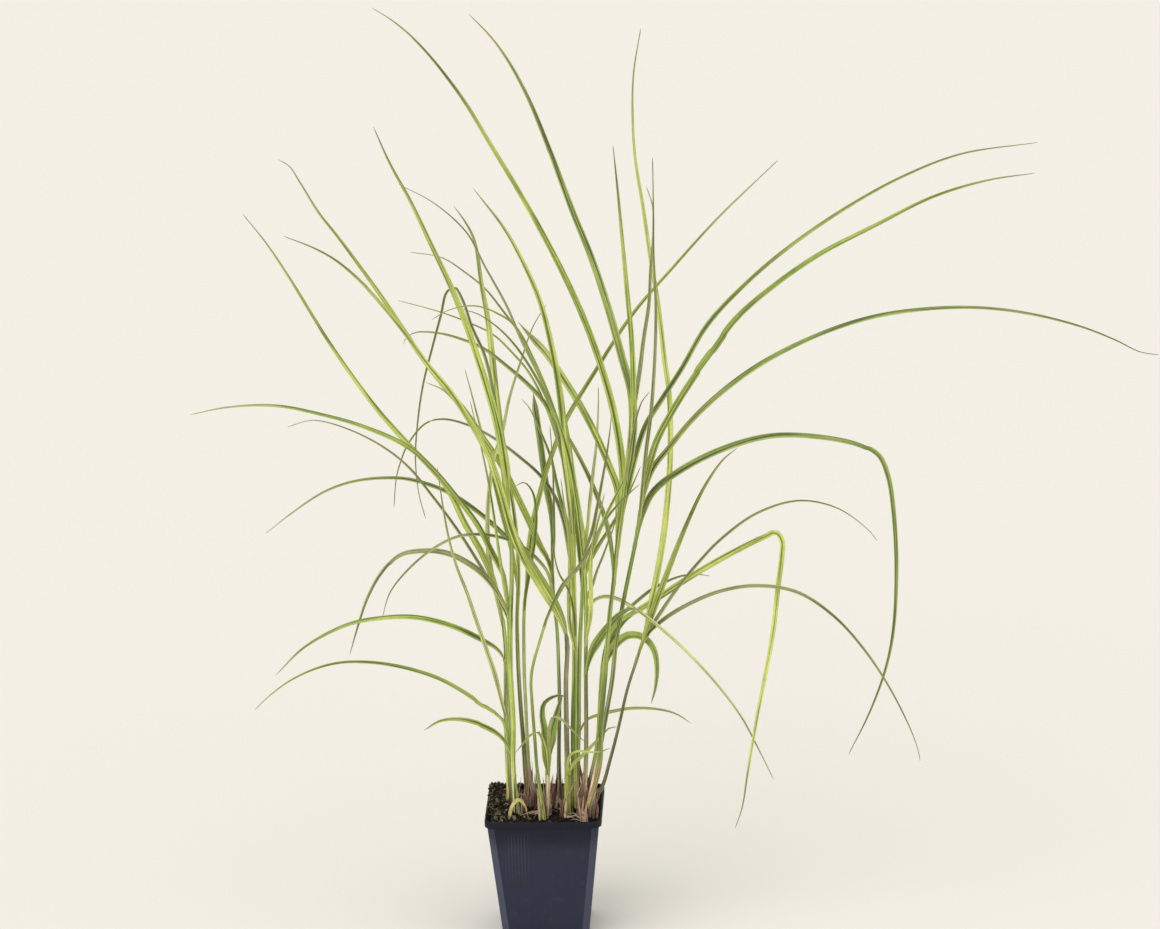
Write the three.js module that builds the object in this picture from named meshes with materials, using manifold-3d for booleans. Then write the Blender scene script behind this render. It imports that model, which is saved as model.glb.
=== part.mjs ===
// Flamingo maiden grass in a square nursery pot, in millimetres with +Z up.
// The origin is the middle of the pot's underside, and -Y is the plant's front.
import * as THREE from 'three';
import { mergeVertices } from 'three/addons/utils/BufferGeometryUtils.js';
import Module from 'manifold-3d';

const wasm = await Module();
wasm.setup();

// The pot is a tapered square tub with round corners and a thicker rim.
const POT_HEIGHT = 100;
const POT_BASE_WIDTH = 66;
const POT_BODY_TOP_WIDTH = 86;
const RIM_WIDTH = 90;
const RIM_DEPTH = 5.5;
const POT_WALL = 1.6;
const POT_FLOOR = 2;
const CORNER_RADIUS = 8;
const CORNER_STEPS = 4;
const DRAIN_RADIUS = 4;
const DRAIN_PLACE = 17;

// The soil fills the pot to just under its rim, and the stems stand in holes in it.
const FIT_GAP = 0.3;
const SOIL_TOP = 92;
const STEM_FOOT = 68;
const HOLE_SIDES = 12;

// The stems are thicker at the foot, where dry sheaths wrap them.
const STEM_SIDES = 6;
const SHEATH_SWELL = 1.25;
const SHEATH_RISE = 45;
const STEM_TOP_SHARE = 0.7;

// A blade is a long keeled strip: thickest along its midrib and drawn out to a point. The table
// gives the width of its green middle, and its light margins make it wider by this share.
const WITH_MARGINS = 1.14;
const BLADE_THICKNESS = 0.9;
const TIP_THICKNESS = 0.62;
const BLADE_FOLD = 0.22;
const ROOT_SUNK = 9;
const ROOT_WIDTH = 2.5;
const TIP_WIDTH = 0.75;
const LENGTH_PER_RING = 34;
const BEND_PER_RING = THREE.MathUtils.degToRad(17);

// Every stem and blade is drawn from the front, by an eye that looks slightly down on the plant.
// Its x and z lie in the upright plane through the pot's middle, and y is how far behind that
// plane, or in front of it, the point really is. It keeps its place before the eye.
const EYE_DISTANCE = 4500;
const EYE_TURN = THREE.MathUtils.degToRad(-2.29);
const EYE_LIFT = THREE.MathUtils.degToRad(16.56);
const EYE_AIM = new THREE.Vector3(32.8, 0, 372.8);
const EYE_FORWARD = new THREE.Vector3(
  Math.sin(EYE_TURN) * Math.cos(EYE_LIFT),
  Math.cos(EYE_TURN) * Math.cos(EYE_LIFT),
  -Math.sin(EYE_LIFT),
);
const EYE = EYE_AIM.clone().addScaledVector(EYE_FORWARD, -EYE_DISTANCE);

// Strands that would touch are bent apart in depth until this much air is left between them.
const AIR = 1.4;
const SAMPLE_STEP = 4;
const SPREAD_ROUNDS = 500;
const FREE_AFTER = 26;

const COLOURS = {
  pot: '#24262b',
  soil: '#2b211b',
  fresh: '#8fae3f',
  deep: '#6f8f3a',
  shaded: '#5f7a3c',
};

// Each stem has its foot in the soil, the points it rises through, and its blades.
// A blade leaves the stem at the height "from". "lean" is how far its tip is behind (+) or in
// front (-) of its foot, and "turn" how far its face is turned from edge-on towards the front.
const STEMS = [
  {
    name: 'stem_left_outer',
    foot: [-27, 10],
    thick: 2.1,
    lean: 8,
    rises: [[-28, 125], [-28.5, 165], [-28, 200], [-27.5, 226], [-29, 252]],
    blades: [
      {
        from: 250, wide: 4.6, lean: 60, turn: 60,
        seen: [[-35, 280], [-44, 304], [-55.5, 326], [-69, 356], [-82.5, 373.5], [-101, 394.5],
          [-121.5, 420], [-141.5, 449.5], [-159, 478], [-183.5, 522], [-200, 549], [-217, 572]],
      },
      {
        from: 238, wide: 3.6, lean: 40, turn: 70,
        seen: [[-33.5, 270], [-38, 295], [-39, 320], [-37.5, 347], [-33, 377], [-25.5, 400.5],
          [-19.5, 427], [-10, 456], [-0.5, 482], [10, 499]],
      },
      {
        from: 213, wide: 5, lean: -30, turn: 45,
        seen: [[-32.5, 224.5], [-50.5, 236.5], [-72, 246.5], [-98, 252.5], [-125.5, 251.5],
          [-146, 247.5], [-166.5, 238.5], [-185, 226.5], [-205, 206]],
      },
      {
        from: 170, wide: 3.2, lean: -60, turn: 60,
        seen: [[-31, 182], [-36, 205], [-41.5, 223.5], [-48.5, 246.5], [-56, 272], [-63, 292],
          [-68, 312], [-72, 337], [-76, 372]],
      },
      {
        from: 157, wide: 3.6, lean: -80, turn: 50,
        seen: [[-31.5, 169], [-44, 178.5], [-61, 191], [-79.5, 202], [-105.5, 211], [-131.5, 215.5],
          [-155, 215.5], [-175, 210.5], [-195.5, 200.5], [-213, 187], [-222, 178]],
      },
    ],
  },
  {
    name: 'stem_left_inner',
    foot: [-24, -4],
    thick: 2,
    lean: -4,
    rises: [[-25.5, 125], [-25, 165], [-25, 210], [-24.5, 240], [-24, 264]],
    blades: [
      {
        from: 262, wide: 5, lean: 20, turn: 45,
        seen: [[-27.5, 285.5], [-35.5, 303.5], [-46.5, 326.5], [-60, 346], [-80, 371.5], [-98.5, 389],
          [-131.5, 405], [-160, 414], [-197.5, 422], [-235, 421], [-262.5, 415.5]],
      },
      {
        from: 248, wide: 2.6, lean: 110, turn: 50,
        seen: [[-30.5, 264], [-38, 280], [-47.5, 297.5], [-62, 322], [-81, 350], [-98.5, 373],
          [-119, 390], [-146, 404], [-170, 410], [-189, 405]],
      },
      {
        from: 141, wide: 4.8, lean: -45, turn: 60,
        seen: [[-32.5, 154.5], [-46, 163.5], [-63, 168.5], [-79, 167.5], [-92, 160]],
      },
      {
        from: 252, wide: 2.6, lean: 0, turn: 60,
        seen: [[-27.5, 280], [-30, 300], [-32, 318], [-34.5, 340], [-37.5, 362], [-41, 382],
          [-45, 402], [-49.5, 424]],
      },
    ],
  },
  {
    name: 'stem_left_front',
    foot: [-21, -17],
    thick: 2.2,
    lean: -8,
    rises: [[-24, 128], [-23, 165], [-24, 210], [-23, 250], [-21.5, 280], [-21, 310], [-22, 336]],
    blades: [
      {
        from: 334, wide: 5.6, lean: -70, turn: 60,
        seen: [[-24, 366], [-28.5, 401], [-36, 434], [-47, 472], [-60, 510], [-76, 547.5],
          [-91, 582], [-105, 610], [-116.5, 638]],
      },
      {
        from: 318, wide: 3, lean: 50, turn: 35,
        seen: [[-24.5, 350], [-29, 410], [-37, 458], [-46.5, 482], [-53, 503], [-59, 513.5],
          [-65, 510], [-70, 492], [-77.5, 465.5], [-85, 437.5], [-90, 407.5], [-92.5, 378],
          [-90.5, 350], [-86, 331]],
      },
      {
        from: 248, wide: 5, lean: 30, turn: 50,
        seen: [[-30.5, 268], [-40.5, 283.5], [-54.5, 295.5], [-72, 304], [-91, 305.5], [-107, 302],
          [-121.5, 287], [-132.5, 267], [-140, 246], [-147.5, 222]],
      },
    ],
  },
  {
    name: 'stem_left_tall',
    foot: [-13, 8],
    thick: 1.9,
    lean: 14,
    rises: [[-14.5, 125], [-15.5, 150], [-17, 180], [-18, 213], [-18, 250], [-16, 285], [-17, 320],
      [-19.5, 346]],
    blades: [
      {
        from: 344, wide: 5.6, lean: 110, turn: 70,
        seen: [[-24, 375], [-28.5, 407], [-31, 446], [-34.5, 487.5], [-38.5, 515], [-43, 549],
          [-49, 563], [-58, 576.5]],
      },
      {
        from: 270, wide: 3, lean: 140, turn: 60,
        seen: [[-20, 300], [-29, 340], [-37, 380], [-43.5, 408.5], [-49.5, 435], [-53, 449.5]],
      },
      {
        from: 298, wide: 2.6, lean: -60, turn: 60,
        seen: [[-17, 322], [-19.5, 345], [-22.3, 365], [-24.5, 388], [-26, 408], [-28, 430],
          [-31.5, 455]],
      },
    ],
  },
  {
    name: 'stem_slender',
    foot: [0, -23],
    thick: 1.5,
    lean: 8,
    rises: [[-5.5, 129], [-6.5, 150], [-8, 180], [-8.5, 200], [-6.5, 213], [-1, 231.5], [5.5, 253]],
    blades: [
      {
        from: 251, wide: 3.6, lean: -80, turn: 55,
        seen: [[10.5, 263], [18.5, 278], [29, 290], [38, 304], [45, 318], [53, 331], [63, 343],
          [78, 357]],
      },
    ],
  },
  {
    name: 'stem_left_back',
    foot: [-9, 20],
    thick: 1.7,
    lean: 14,
    rises: [[-11.5, 125], [-12.5, 150], [-13, 180], [-13.5, 205], [-13, 245], [-12, 262], [-10, 278]],
    blades: [
      {
        from: 276, wide: 3.8, lean: 40, turn: 70,
        seen: [[-8, 305], [-4.5, 326], [1.5, 350], [8.5, 373], [22.5, 407.5], [43, 442], [75, 491],
          [106, 527], [140.5, 565], [186, 609]],
      },
      {
        from: 262, wide: 3.6, lean: -60, turn: 60,
        seen: [[-7.5, 290], [-3, 315], [-1.5, 336.5], [-4, 352], [-10, 359], [-17, 356]],
      },
    ],
  },
  {
    name: 'young_shoot',
    foot: [3, -13],
    thick: 2.1,
    lean: 0,
    rises: [[2.5, 118], [3, 128], [5, 141]],
    blades: [
      { from: 139, wide: 7.6, lean: 14, turn: 80, seen: [[7, 157.5], [10, 170], [13, 180.5], [15.5, 188]] },
      {
        from: 124, wide: 6.4, lean: -22, turn: 75,
        seen: [[1.5, 146], [1, 160], [-0.5, 172], [1, 181], [6, 185.5], [12, 187.5], [19, 186.5]],
      },
      {
        from: 127, wide: 3, lean: -36, turn: 50,
        seen: [[0.5, 148], [-4, 158], [-10, 155.5], [-16, 148.5], [-22, 141]],
      },
      {
        from: 133, wide: 3.2, lean: -34, turn: 60,
        seen: [[5, 162], [9, 171], [14.5, 168], [22, 160], [33, 148.5]],
      },
    ],
  },
  {
    name: 'stem_middle_back',
    foot: [11, 16],
    thick: 1.7,
    lean: 14,
    rises: [[11.5, 125], [12, 150], [13, 180], [13, 213], [12.5, 240], [10.5, 264], [10, 290],
      [10.5, 316]],
    blades: [
      {
        from: 314, wide: 4.4, lean: 110, turn: 75, blunt: true,
        seen: [[10, 335], [7, 353.5], [5, 371.5], [2.5, 395], [0.5, 412], [-1.5, 430]],
      },
      {
        from: 281, wide: 5, lean: 50, turn: 60,
        seen: [[7, 297], [1, 309], [-7.5, 330], [-15.5, 348.5], [-26, 372], [-39, 392.5],
          [-53.5, 416], [-68.5, 435.5], [-87, 462], [-112, 503], [-144, 551], [-160, 573],
          [-173, 596], [-181, 609], [-189, 614]],
      },
      {
        from: 270, wide: 3.4, lean: -70, turn: 40,
        seen: [[6, 288], [-3, 300], [-12, 308], [-23.5, 314], [-41, 318], [-60.5, 317], [-79.5, 308],
          [-99.5, 291.5], [-115, 272], [-121.5, 252]],
      },
      {
        from: 256, wide: 4.6, lean: 60, turn: 40,
        seen: [[6.5, 275], [-1, 287], [-10, 299], [-26.5, 318], [-45.5, 336], [-68, 352],
          [-96.5, 362.5], [-118, 364], [-142, 361], [-163.5, 353], [-189, 336], [-208.5, 320.5]],
      },
      {
        from: 292, wide: 1.8, lean: -40, turn: 50,
        seen: [[11.8, 312], [12.2, 332], [12.2, 352], [12, 372], [11.4, 389], [10.5, 404]],
      },
    ],
  },
  {
    name: 'stem_middle_front',
    foot: [18, -11],
    thick: 2.4,
    lean: -8,
    rises: [[18, 125], [18, 160], [18.5, 200], [20, 225], [19.5, 238]],
    blades: [
      {
        from: 236, wide: 5.4, lean: -60, turn: 65,
        seen: [[14, 251], [-1.5, 280], [-12.5, 301], [-20, 322], [-27, 350], [-36, 380], [-50, 408],
          [-64, 431], [-80, 452], [-102, 484.5], [-128.5, 517], [-148, 535], [-164.5, 545],
          [-187, 554.5]],
      },
      {
        from: 226, wide: 4.6, lean: 20, turn: 60,
        seen: [[18, 247], [12.5, 262], [6, 275], [-1, 287], [-8, 299], [-14, 310], [-21, 325],
          [-28, 351], [-36, 377], [-47, 400], [-60, 422], [-70, 433], [-83, 439]],
      },
      {
        from: 119, wide: 3.6, lean: -20, turn: 60,
        seen: [[22, 131], [30, 139], [41.5, 151], [51, 160.5], [58, 161.5]],
      },
      {
        from: 130, wide: 2.6, lean: -40, turn: 50,
        seen: [[21, 140], [28, 142], [35, 141], [43, 141.5], [51.5, 144.5]],
      },
    ],
  },
  {
    name: 'stem_middle',
    foot: [23, 5],
    thick: 2.5,
    lean: 4,
    rises: [[23, 130], [23.5, 165], [25, 200], [26, 240], [26, 280], [27, 321]],
    blades: [
      {
        from: 319, wide: 5.4, lean: -120, turn: 70,
        seen: [[25.5, 354], [22, 387.5], [19, 427], [13.5, 465.5], [4.5, 504], [-9.5, 538],
          [-21, 559.5], [-43, 590]],
      },
      {
        from: 290, wide: 2.8, lean: 120, turn: 50,
        seen: [[25, 325], [21, 370], [15, 405], [8, 432], [0, 451], [-9.5, 471.5], [-20, 498.5],
          [-35.5, 529], [-49, 556], [-73, 579], [-98.5, 593.5]],
      },
      {
        from: 275, wide: 3, lean: 150, turn: 40,
        seen: [[23, 305], [19, 330], [13, 348], [2.5, 364.5], [-12.5, 379], [-30.5, 393.5],
          [-50, 404.5], [-70, 410], [-83.5, 407], [-97.5, 391], [-104, 376], [-107.5, 363.5],
          [-110, 340]],
      },
      {
        from: 296, wide: 3.2, lean: 60, turn: 60,
        seen: [[24, 318], [20.5, 333], [17, 347], [14, 362], [11.5, 376], [7.5, 388.5],
          [2.5, 401.5], [-5, 418.5], [-10.5, 425]],
      },
      {
        from: 224, wide: 3, lean: -40, turn: 60,
        seen: [[22.5, 243], [22, 262], [22.8, 282], [23.5, 302], [22.5, 322], [20, 342], [18, 362]],
      },
      {
        from: 244, wide: 2.2, lean: -70, turn: 50,
        seen: [[24.5, 262], [20.5, 276], [15.5, 285], [12.5, 296], [11.5, 309]],
      },
    ],
  },
  {
    name: 'stem_right_back',
    foot: [25, 23],
    thick: 2,
    lean: 18,
    rises: [[26, 130], [27.5, 165], [28.5, 200], [30, 233], [32, 262], [33.5, 290], [32, 321]],
    blades: [
      {
        from: 319, wide: 4.6, lean: 40, turn: 50,
        seen: [[28, 345], [22, 375], [14, 408], [6.5, 423], [-6, 437.5], [-20, 450.5], [-38.5, 465.5],
          [-54, 472.5], [-71, 477.5], [-88.5, 478.5], [-96, 475], [-99, 469]],
      },
      {
        from: 300, wide: 3, lean: 150, turn: 50,
        seen: [[30, 335], [25, 370], [17, 405], [8, 433], [-1, 457], [-11.5, 478], [-22.5, 494],
          [-35.5, 511.5], [-51.5, 525.5], [-68, 536.5], [-91.5, 541]],
      },
      {
        from: 270, wide: 2.8, lean: 90, turn: 40,
        seen: [[31, 300], [27, 340], [18, 385], [7, 422], [-5, 447], [-16, 461], [-30, 475.5],
          [-47.5, 485], [-70, 494], [-102, 503.5]],
      },
      {
        from: 156, wide: 3.6, lean: -20, turn: 40,
        seen: [[34, 168], [42, 171.5], [51, 174], [69.5, 177], [91, 175.5], [103.5, 171.5],
          [114, 164]],
      },
      {
        from: 276, wide: 3.4, lean: 60, turn: 45,
        seen: [[38, 294], [46, 309], [55, 323], [63, 337], [70, 351], [79, 371]],
      },
    ],
  },
  {
    name: 'stem_right_front',
    foot: [29, -9],
    thick: 1.9,
    lean: -10,
    rises: [[32, 125], [33, 150], [33.5, 180], [34, 213], [35, 249], [35, 275], [34.5, 300],
      [38, 327]],
    blades: [
      {
        from: 325, wide: 2.6, lean: 150, turn: 60,
        seen: [[40, 345], [42.5, 365], [45.5, 388], [47.5, 416], [48, 434]],
      },
      {
        from: 298, wide: 2.6, lean: -150, turn: 60,
        seen: [[41, 320], [45, 338], [49, 358], [53, 379], [56, 399], [57.5, 412]],
      },
      {
        from: 280, wide: 3.6, lean: -70, turn: 45,
        seen: [[33.5, 310], [30, 345], [23, 385], [13, 420], [5, 443], [-3, 462], [-9, 475],
          [-17, 486], [-29, 493.5], [-44.5, 498.5], [-63.5, 495.5], [-77, 488]],
      },
      {
        from: 250, wide: 3.2, lean: 60, turn: 50,
        seen: [[38.5, 261], [44, 266], [51, 267.5], [58, 266], [66, 262], [80.5, 251], [99, 234.5],
          [121.5, 211], [139.5, 188.5], [153.5, 167.5], [165.5, 143], [177, 118]],
      },
      {
        from: 205, wide: 8.2, lean: -26, turn: 75,
        seen: [[38, 221], [43, 231], [50, 241], [56, 248.5], [62, 254], [68.5, 257], [75.5, 256.5]],
      },
      {
        from: 286, wide: 2.8, lean: 90, turn: 60,
        seen: [[36.5, 306], [34, 320], [32, 335], [30, 350], [28, 366], [26.3, 382], [24, 400],
          [20.5, 420], [15, 442]],
      },
      {
        from: 284, wide: 4, lean: 10, turn: 50,
        seen: [[40, 303], [45, 317], [51, 331], [58, 345], [66, 360], [75, 378]],
      },
      {
        from: 262, wide: 2.2, lean: 50, turn: 50,
        seen: [[40.5, 277], [44, 288], [48.5, 299], [53, 311], [57.5, 323], [60.5, 335]],
      },
      {
        from: 232, wide: 3.4, lean: -90, turn: 60,
        seen: [[38, 250], [39, 268], [39, 285], [40, 300], [43, 318], [47.5, 335], [51, 350]],
      },
    ],
  },
  {
    name: 'stem_right_main',
    foot: [32, 13],
    thick: 2.1,
    lean: 16,
    rises: [[41, 143], [44.5, 174], [48, 205], [53, 253], [56, 273], [60, 304], [64.5, 333]],
    blades: [
      {
        from: 331, wide: 4.4, lean: 70, turn: 50,
        seen: [[69.5, 357], [75.5, 381.5], [83, 403.5], [95, 423], [110.5, 447], [131, 482],
          [157.5, 511], [189.5, 539], [238.5, 573], [280.5, 596], [322.5, 612], [379.5, 620]],
      },
      {
        from: 310, wide: 5.4, lean: -60, turn: 65,
        seen: [[65, 345], [65.5, 366], [62.5, 396], [55.5, 432], [43, 474.5], [29.5, 509.5],
          [10, 551.5], [-10, 590], [-27.5, 621], [-51, 662], [-79.5, 700], [-100, 719], [-115, 729]],
      },
      {
        from: 278, wide: 4, lean: 20, turn: 50,
        seen: [[56, 303], [52.5, 325], [47, 343.5], [39.5, 363.5], [28.5, 387], [15.5, 410],
          [7, 430], [-3.5, 450.5], [-14, 467], [-27, 481.5], [-42.5, 492.5], [-54, 496]],
      },
      {
        from: 294, wide: 4.8, lean: 90, turn: 65, blunt: true,
        seen: [[61.5, 325], [61, 353], [55, 372], [46.5, 394], [36, 416], [20, 444], [9, 461],
          [-5, 477.5], [-12, 486]],
      },
    ],
  },
  {
    name: 'stem_right_tall',
    foot: [34, -14],
    thick: 2.1,
    lean: -14,
    rises: [[39, 121], [45, 152], [51, 183], [54, 200], [57.5, 230], [62.5, 257], [68, 283],
      [75.5, 319], [78.5, 339]],
    blades: [
      {
        from: 337, wide: 5.6, lean: -50, turn: 55,
        seen: [[81.5, 357], [91, 391], [103, 414], [118, 438], [133, 459], [153, 486], [180, 510],
          [215.5, 535], [259.5, 558], [301.5, 579], [341, 591], [378, 596.5]],
      },
      {
        from: 320, wide: 5.2, lean: 30, turn: 38,
        seen: [[80, 348], [87.5, 369], [100.5, 386], [118, 407.5], [143, 431], [175.5, 454],
          [219.5, 475.5], [258.5, 487.5], [301, 493], [338.5, 493], [376, 487.5], [413.5, 477],
          [438.5, 466.5], [457, 457], [471, 454.5]],
      },
      {
        from: 307, wide: 5.2, lean: 100, turn: 45,
        seen: [[79.5, 334], [88, 351], [108.5, 367.5], [143, 385], [179, 394.5], [216, 393],
          [246, 386], [260, 377], [266.5, 361], [270, 338.5], [272.5, 290], [270, 239],
          [264, 207.5], [251.5, 172], [235, 137.5]],
      },
      {
        from: 330, wide: 2.8, lean: -110, turn: 60,
        seen: [[80.5, 358], [83.5, 385], [87.5, 413.5], [91.5, 463.5], [92.5, 497], [91.5, 540],
          [92, 576], [92, 612]],
      },
    ],
  },
  {
    name: 'stem_leaning',
    foot: [34.5, 4],
    thick: 1.5,
    lean: 4,
    rises: [[44, 111.5], [51.5, 136], [58.5, 162.5], [65.5, 192], [72.5, 214], [79.5, 236]],
    blades: [
      {
        from: 234, wide: 4.2, lean: 100, turn: 70,
        seen: [[84, 258], [90.5, 287.5], [96, 320], [100.5, 362.5], [102, 395.5], [101.5, 428],
          [98.5, 454.5], [94.5, 496], [88.5, 539.5], [84.5, 572], [79, 612.5], [77.7, 645],
          [79, 676.5], [85, 711]],
      },
      {
        from: 225, wide: 4.8, lean: -70, turn: 60,
        seen: [[83.5, 248], [94, 276.5], [105.5, 306.5], [116, 331.5], [127.5, 355], [141.5, 375.5],
          [153, 385]],
      },
      {
        from: 214, wide: 3.2, lean: 50, turn: 40,
        seen: [[79, 233], [92.5, 255], [107, 276], [122, 294.5], [139, 312.5], [167, 333],
          [199, 342.5], [228.5, 336], [252.5, 317.5], [258, 310]],
      },
      {
        from: 218, wide: 3.6, lean: -40, turn: 45,
        seen: [[80, 233.5], [92, 246], [113.5, 260], [140.5, 271], [167.5, 274.5], [197, 269],
          [223.5, 250.5], [247.5, 222.5], [271, 183.5], [287.5, 144.5], [290, 132]],
      },
    ],
  },
  {
    name: 'stem_right_low',
    foot: [33, 25],
    thick: 1.8,
    lean: 10,
    rises: [[41, 135], [43, 165], [46, 205], [49, 225], [54.5, 242]],
    blades: [
      {
        from: 240, wide: 4.8, lean: -90, turn: 60,
        seen: [[62, 248.5], [79.5, 259], [96, 270], [122, 287], [150, 303], [172, 314], [181, 317],
          [185.5, 311], [185, 296], [182, 273.5], [178, 239], [171.5, 202.5], [165, 169.5],
          [157, 123], [152.5, 95], [147, 78]],
      },
      {
        from: 234, wide: 3.6, lean: 40, turn: 40,
        seen: [[60, 250], [73, 262.5], [86, 273], [96, 278.5], [107.5, 283], [119, 284.5],
          [130, 283]],
      },
      {
        from: 212, wide: 6.4, lean: 20, turn: 70,
        seen: [[52, 230], [58, 240], [65, 248.5], [75.5, 255.5]],
      },
      {
        from: 198, wide: 6.6, lean: -40, turn: 75,
        seen: [[51, 220], [58, 230], [66, 235.5], [75, 235.5], [82, 231], [87, 222], [88.5, 208],
          [87, 193], [83.5, 180]],
      },
    ],
  },
  {
    name: 'stem_right_edge',
    foot: [32, -27],
    thick: 1.9,
    lean: -18,
    rises: [[43, 130], [45, 165], [49, 205], [52, 240], [56, 275], [60, 310], [65, 345], [69.5, 374]],
    blades: [
      {
        from: 372, wide: 4.2, lean: -110, turn: 70,
        seen: [[72, 395], [74, 419], [74.5, 445], [73.5, 476.5], [71, 510], [68, 551.5],
          [65.5, 586.5], [62.5, 622]],
      },
      {
        from: 358, wide: 3.6, lean: 120, turn: 60,
        seen: [[71.5, 388], [74.5, 417], [79.5, 446.5], [83, 472], [87.5, 500], [89, 525],
          [91.5, 552], [91.5, 574], [87, 590]],
      },
      {
        from: 345, wide: 6, lean: 80, turn: 65,
        seen: [[71, 378], [74, 405], [73, 430], [66.7, 456], [57, 494.7], [45, 534.6], [30.5, 574],
          [14, 622], [0, 659], [-14, 687], [-27, 706], [-43, 723.5]],
      },
      {
        from: 364, wide: 2.4, lean: -40, turn: 60,
        seen: [[72.5, 393], [77, 412], [81, 422.5], [87, 430]],
      },
    ],
  },
];

// The point that the eye sees at x and z of the middle plane, but y behind that plane.
function place(x, z, y) {
  const ray = new THREE.Vector3(x, 0, z).sub(EYE);
  return EYE.clone().addScaledVector(ray, (y - EYE.y) / -EYE.y);
}

// Where the eye sees a real point in the middle plane, as [x, z].
function seenFrom(x, y, z) {
  const ray = new THREE.Vector3(x, y, z).sub(EYE);
  const met = EYE.clone().addScaledVector(ray, -EYE.y / ray.y);
  return [met.x, met.z];
}

// A strand is a stem or a blade as close samples, each with its place, depth and half width.
function makeStrand(points, widthAt) {
  const knots = points.map(([x, z, y]) => new THREE.Vector3(x, y, z));
  const curve = new THREE.CatmullRomCurve3(knots, false, 'centripetal');
  const count = Math.max(6, Math.ceil(curve.getLength() / SAMPLE_STEP));
  const samples = curve.getSpacedPoints(count);
  const reach = curve.getLength();
  const along = samples.map((_, i) => (reach * i) / count);
  return {
    reach,
    along,
    x: samples.map((p) => p.x),
    z: samples.map((p) => p.z),
    y: samples.map((p) => p.y),
    start: samples.map((p) => p.y),
    half: along.map((s) => widthAt(s / reach, s) / 2),
  };
}

function stemWidth(stem, share, rise) {
  const taper = THREE.MathUtils.lerp(1, STEM_TOP_SHARE, share);
  const wrapped = Math.max(0, 1 - Math.max(0, rise) / SHEATH_RISE);
  return 2 * stem.thick * taper * (1 + (SHEATH_SWELL - 1) * wrapped);
}

// A blade widens over its first fifth and narrows evenly over the rest.
function bladeWidth(blade, share, rise) {
  const open = THREE.MathUtils.smoothstep(rise, ROOT_SUNK, ROOT_SUNK + 40);
  const tip = blade.blunt ? Math.min(1, (1 - share) * 9) : Math.pow(1 - share, 0.56);
  const full = blade.wide * WITH_MARGINS;
  const body = THREE.MathUtils.lerp(ROOT_WIDTH, full, open);
  return Math.max(TIP_WIDTH, Math.min(body, full * tip * 1.12));
}

// The sample index of a stem at a seen height.
function indexAtHeight(strand, height) {
  let best = 0;
  strand.z.forEach((z, i) => {
    if (Math.abs(z - height) < Math.abs(strand.z[best] - height)) best = i;
  });
  return best;
}

function layStem(stem) {
  const [footX, footY] = stem.foot;
  const under = [STEM_FOOT, 80, SOIL_TOP, SOIL_TOP + 5].map((height) => {
    const [x, z] = seenFrom(footX, footY, height);
    return [x, z, footY];
  });
  const over = stem.rises.map(([x, z], i) => {
    const share = (i + 1) / stem.rises.length;
    return [x, z, footY + stem.lean * share];
  });
  const strand = makeStrand(
    [...under, ...over],
    (share, s) => stemWidth(stem, share, s - (SOIL_TOP - STEM_FOOT)),
  );
  strand.kind = 'stem';
  strand.stem = stem;
  strand.fixed = SOIL_TOP + 5 - STEM_FOOT;
  return strand;
}

function layBlade(stem, trunk, blade) {
  const out = indexAtHeight(trunk, blade.from);
  const sunk = indexAtHeight(trunk, blade.from - ROOT_SUNK);
  const rootY = trunk.y[out];
  const lengths = [0];
  const path = [[trunk.x[sunk], trunk.z[sunk]], [trunk.x[out], trunk.z[out]], ...blade.seen];
  for (let i = 1; i < path.length; i += 1) {
    lengths.push(lengths[i - 1] + Math.hypot(path[i][0] - path[i - 1][0], path[i][1] - path[i - 1][1]));
  }
  const total = lengths[lengths.length - 1];
  const points = path.map(([x, z], i) => [x, z, rootY + blade.lean * Math.pow(lengths[i] / total, 1.25)]);
  const strand = makeStrand(points, (share, s) => bladeWidth(blade, share, s));
  strand.kind = 'blade';
  strand.stem = stem;
  strand.blade = blade;
  strand.trunk = trunk;
  strand.rootIndex = sunk;
  strand.fixed = ROOT_SUNK;
  return strand;
}

// How freely a sample moves in depth: not at all at the root, and fully a little way out.
function freedom(strand, i) {
  return THREE.MathUtils.smoothstep(strand.along[i], strand.fixed, strand.fixed + FREE_AFTER * 2);
}

// Two samples of one stem's own strands are let be where the blade leaves the stem.
function belongTogether(a, i, b, j) {
  if (a.stem !== b.stem) return false;
  const apart = FREE_AFTER * 1.6;
  if (a.kind === 'stem') return b.along[j] < apart;
  if (b.kind === 'stem') return a.along[i] < apart;
  return a.along[i] < apart || b.along[j] < apart;
}

// Samples are sorted into square cells of the plane, so that only neighbours are compared.
function sortIntoCells(strands, size) {
  const cells = new Map();
  strands.forEach((strand, n) => {
    strand.x.forEach((x, i) => {
      const key = `${Math.floor(x / size)},${Math.floor(strand.z[i] / size)}`;
      if (!cells.has(key)) cells.set(key, []);
      cells.get(key).push([n, i]);
    });
  });
  return cells;
}

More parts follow.
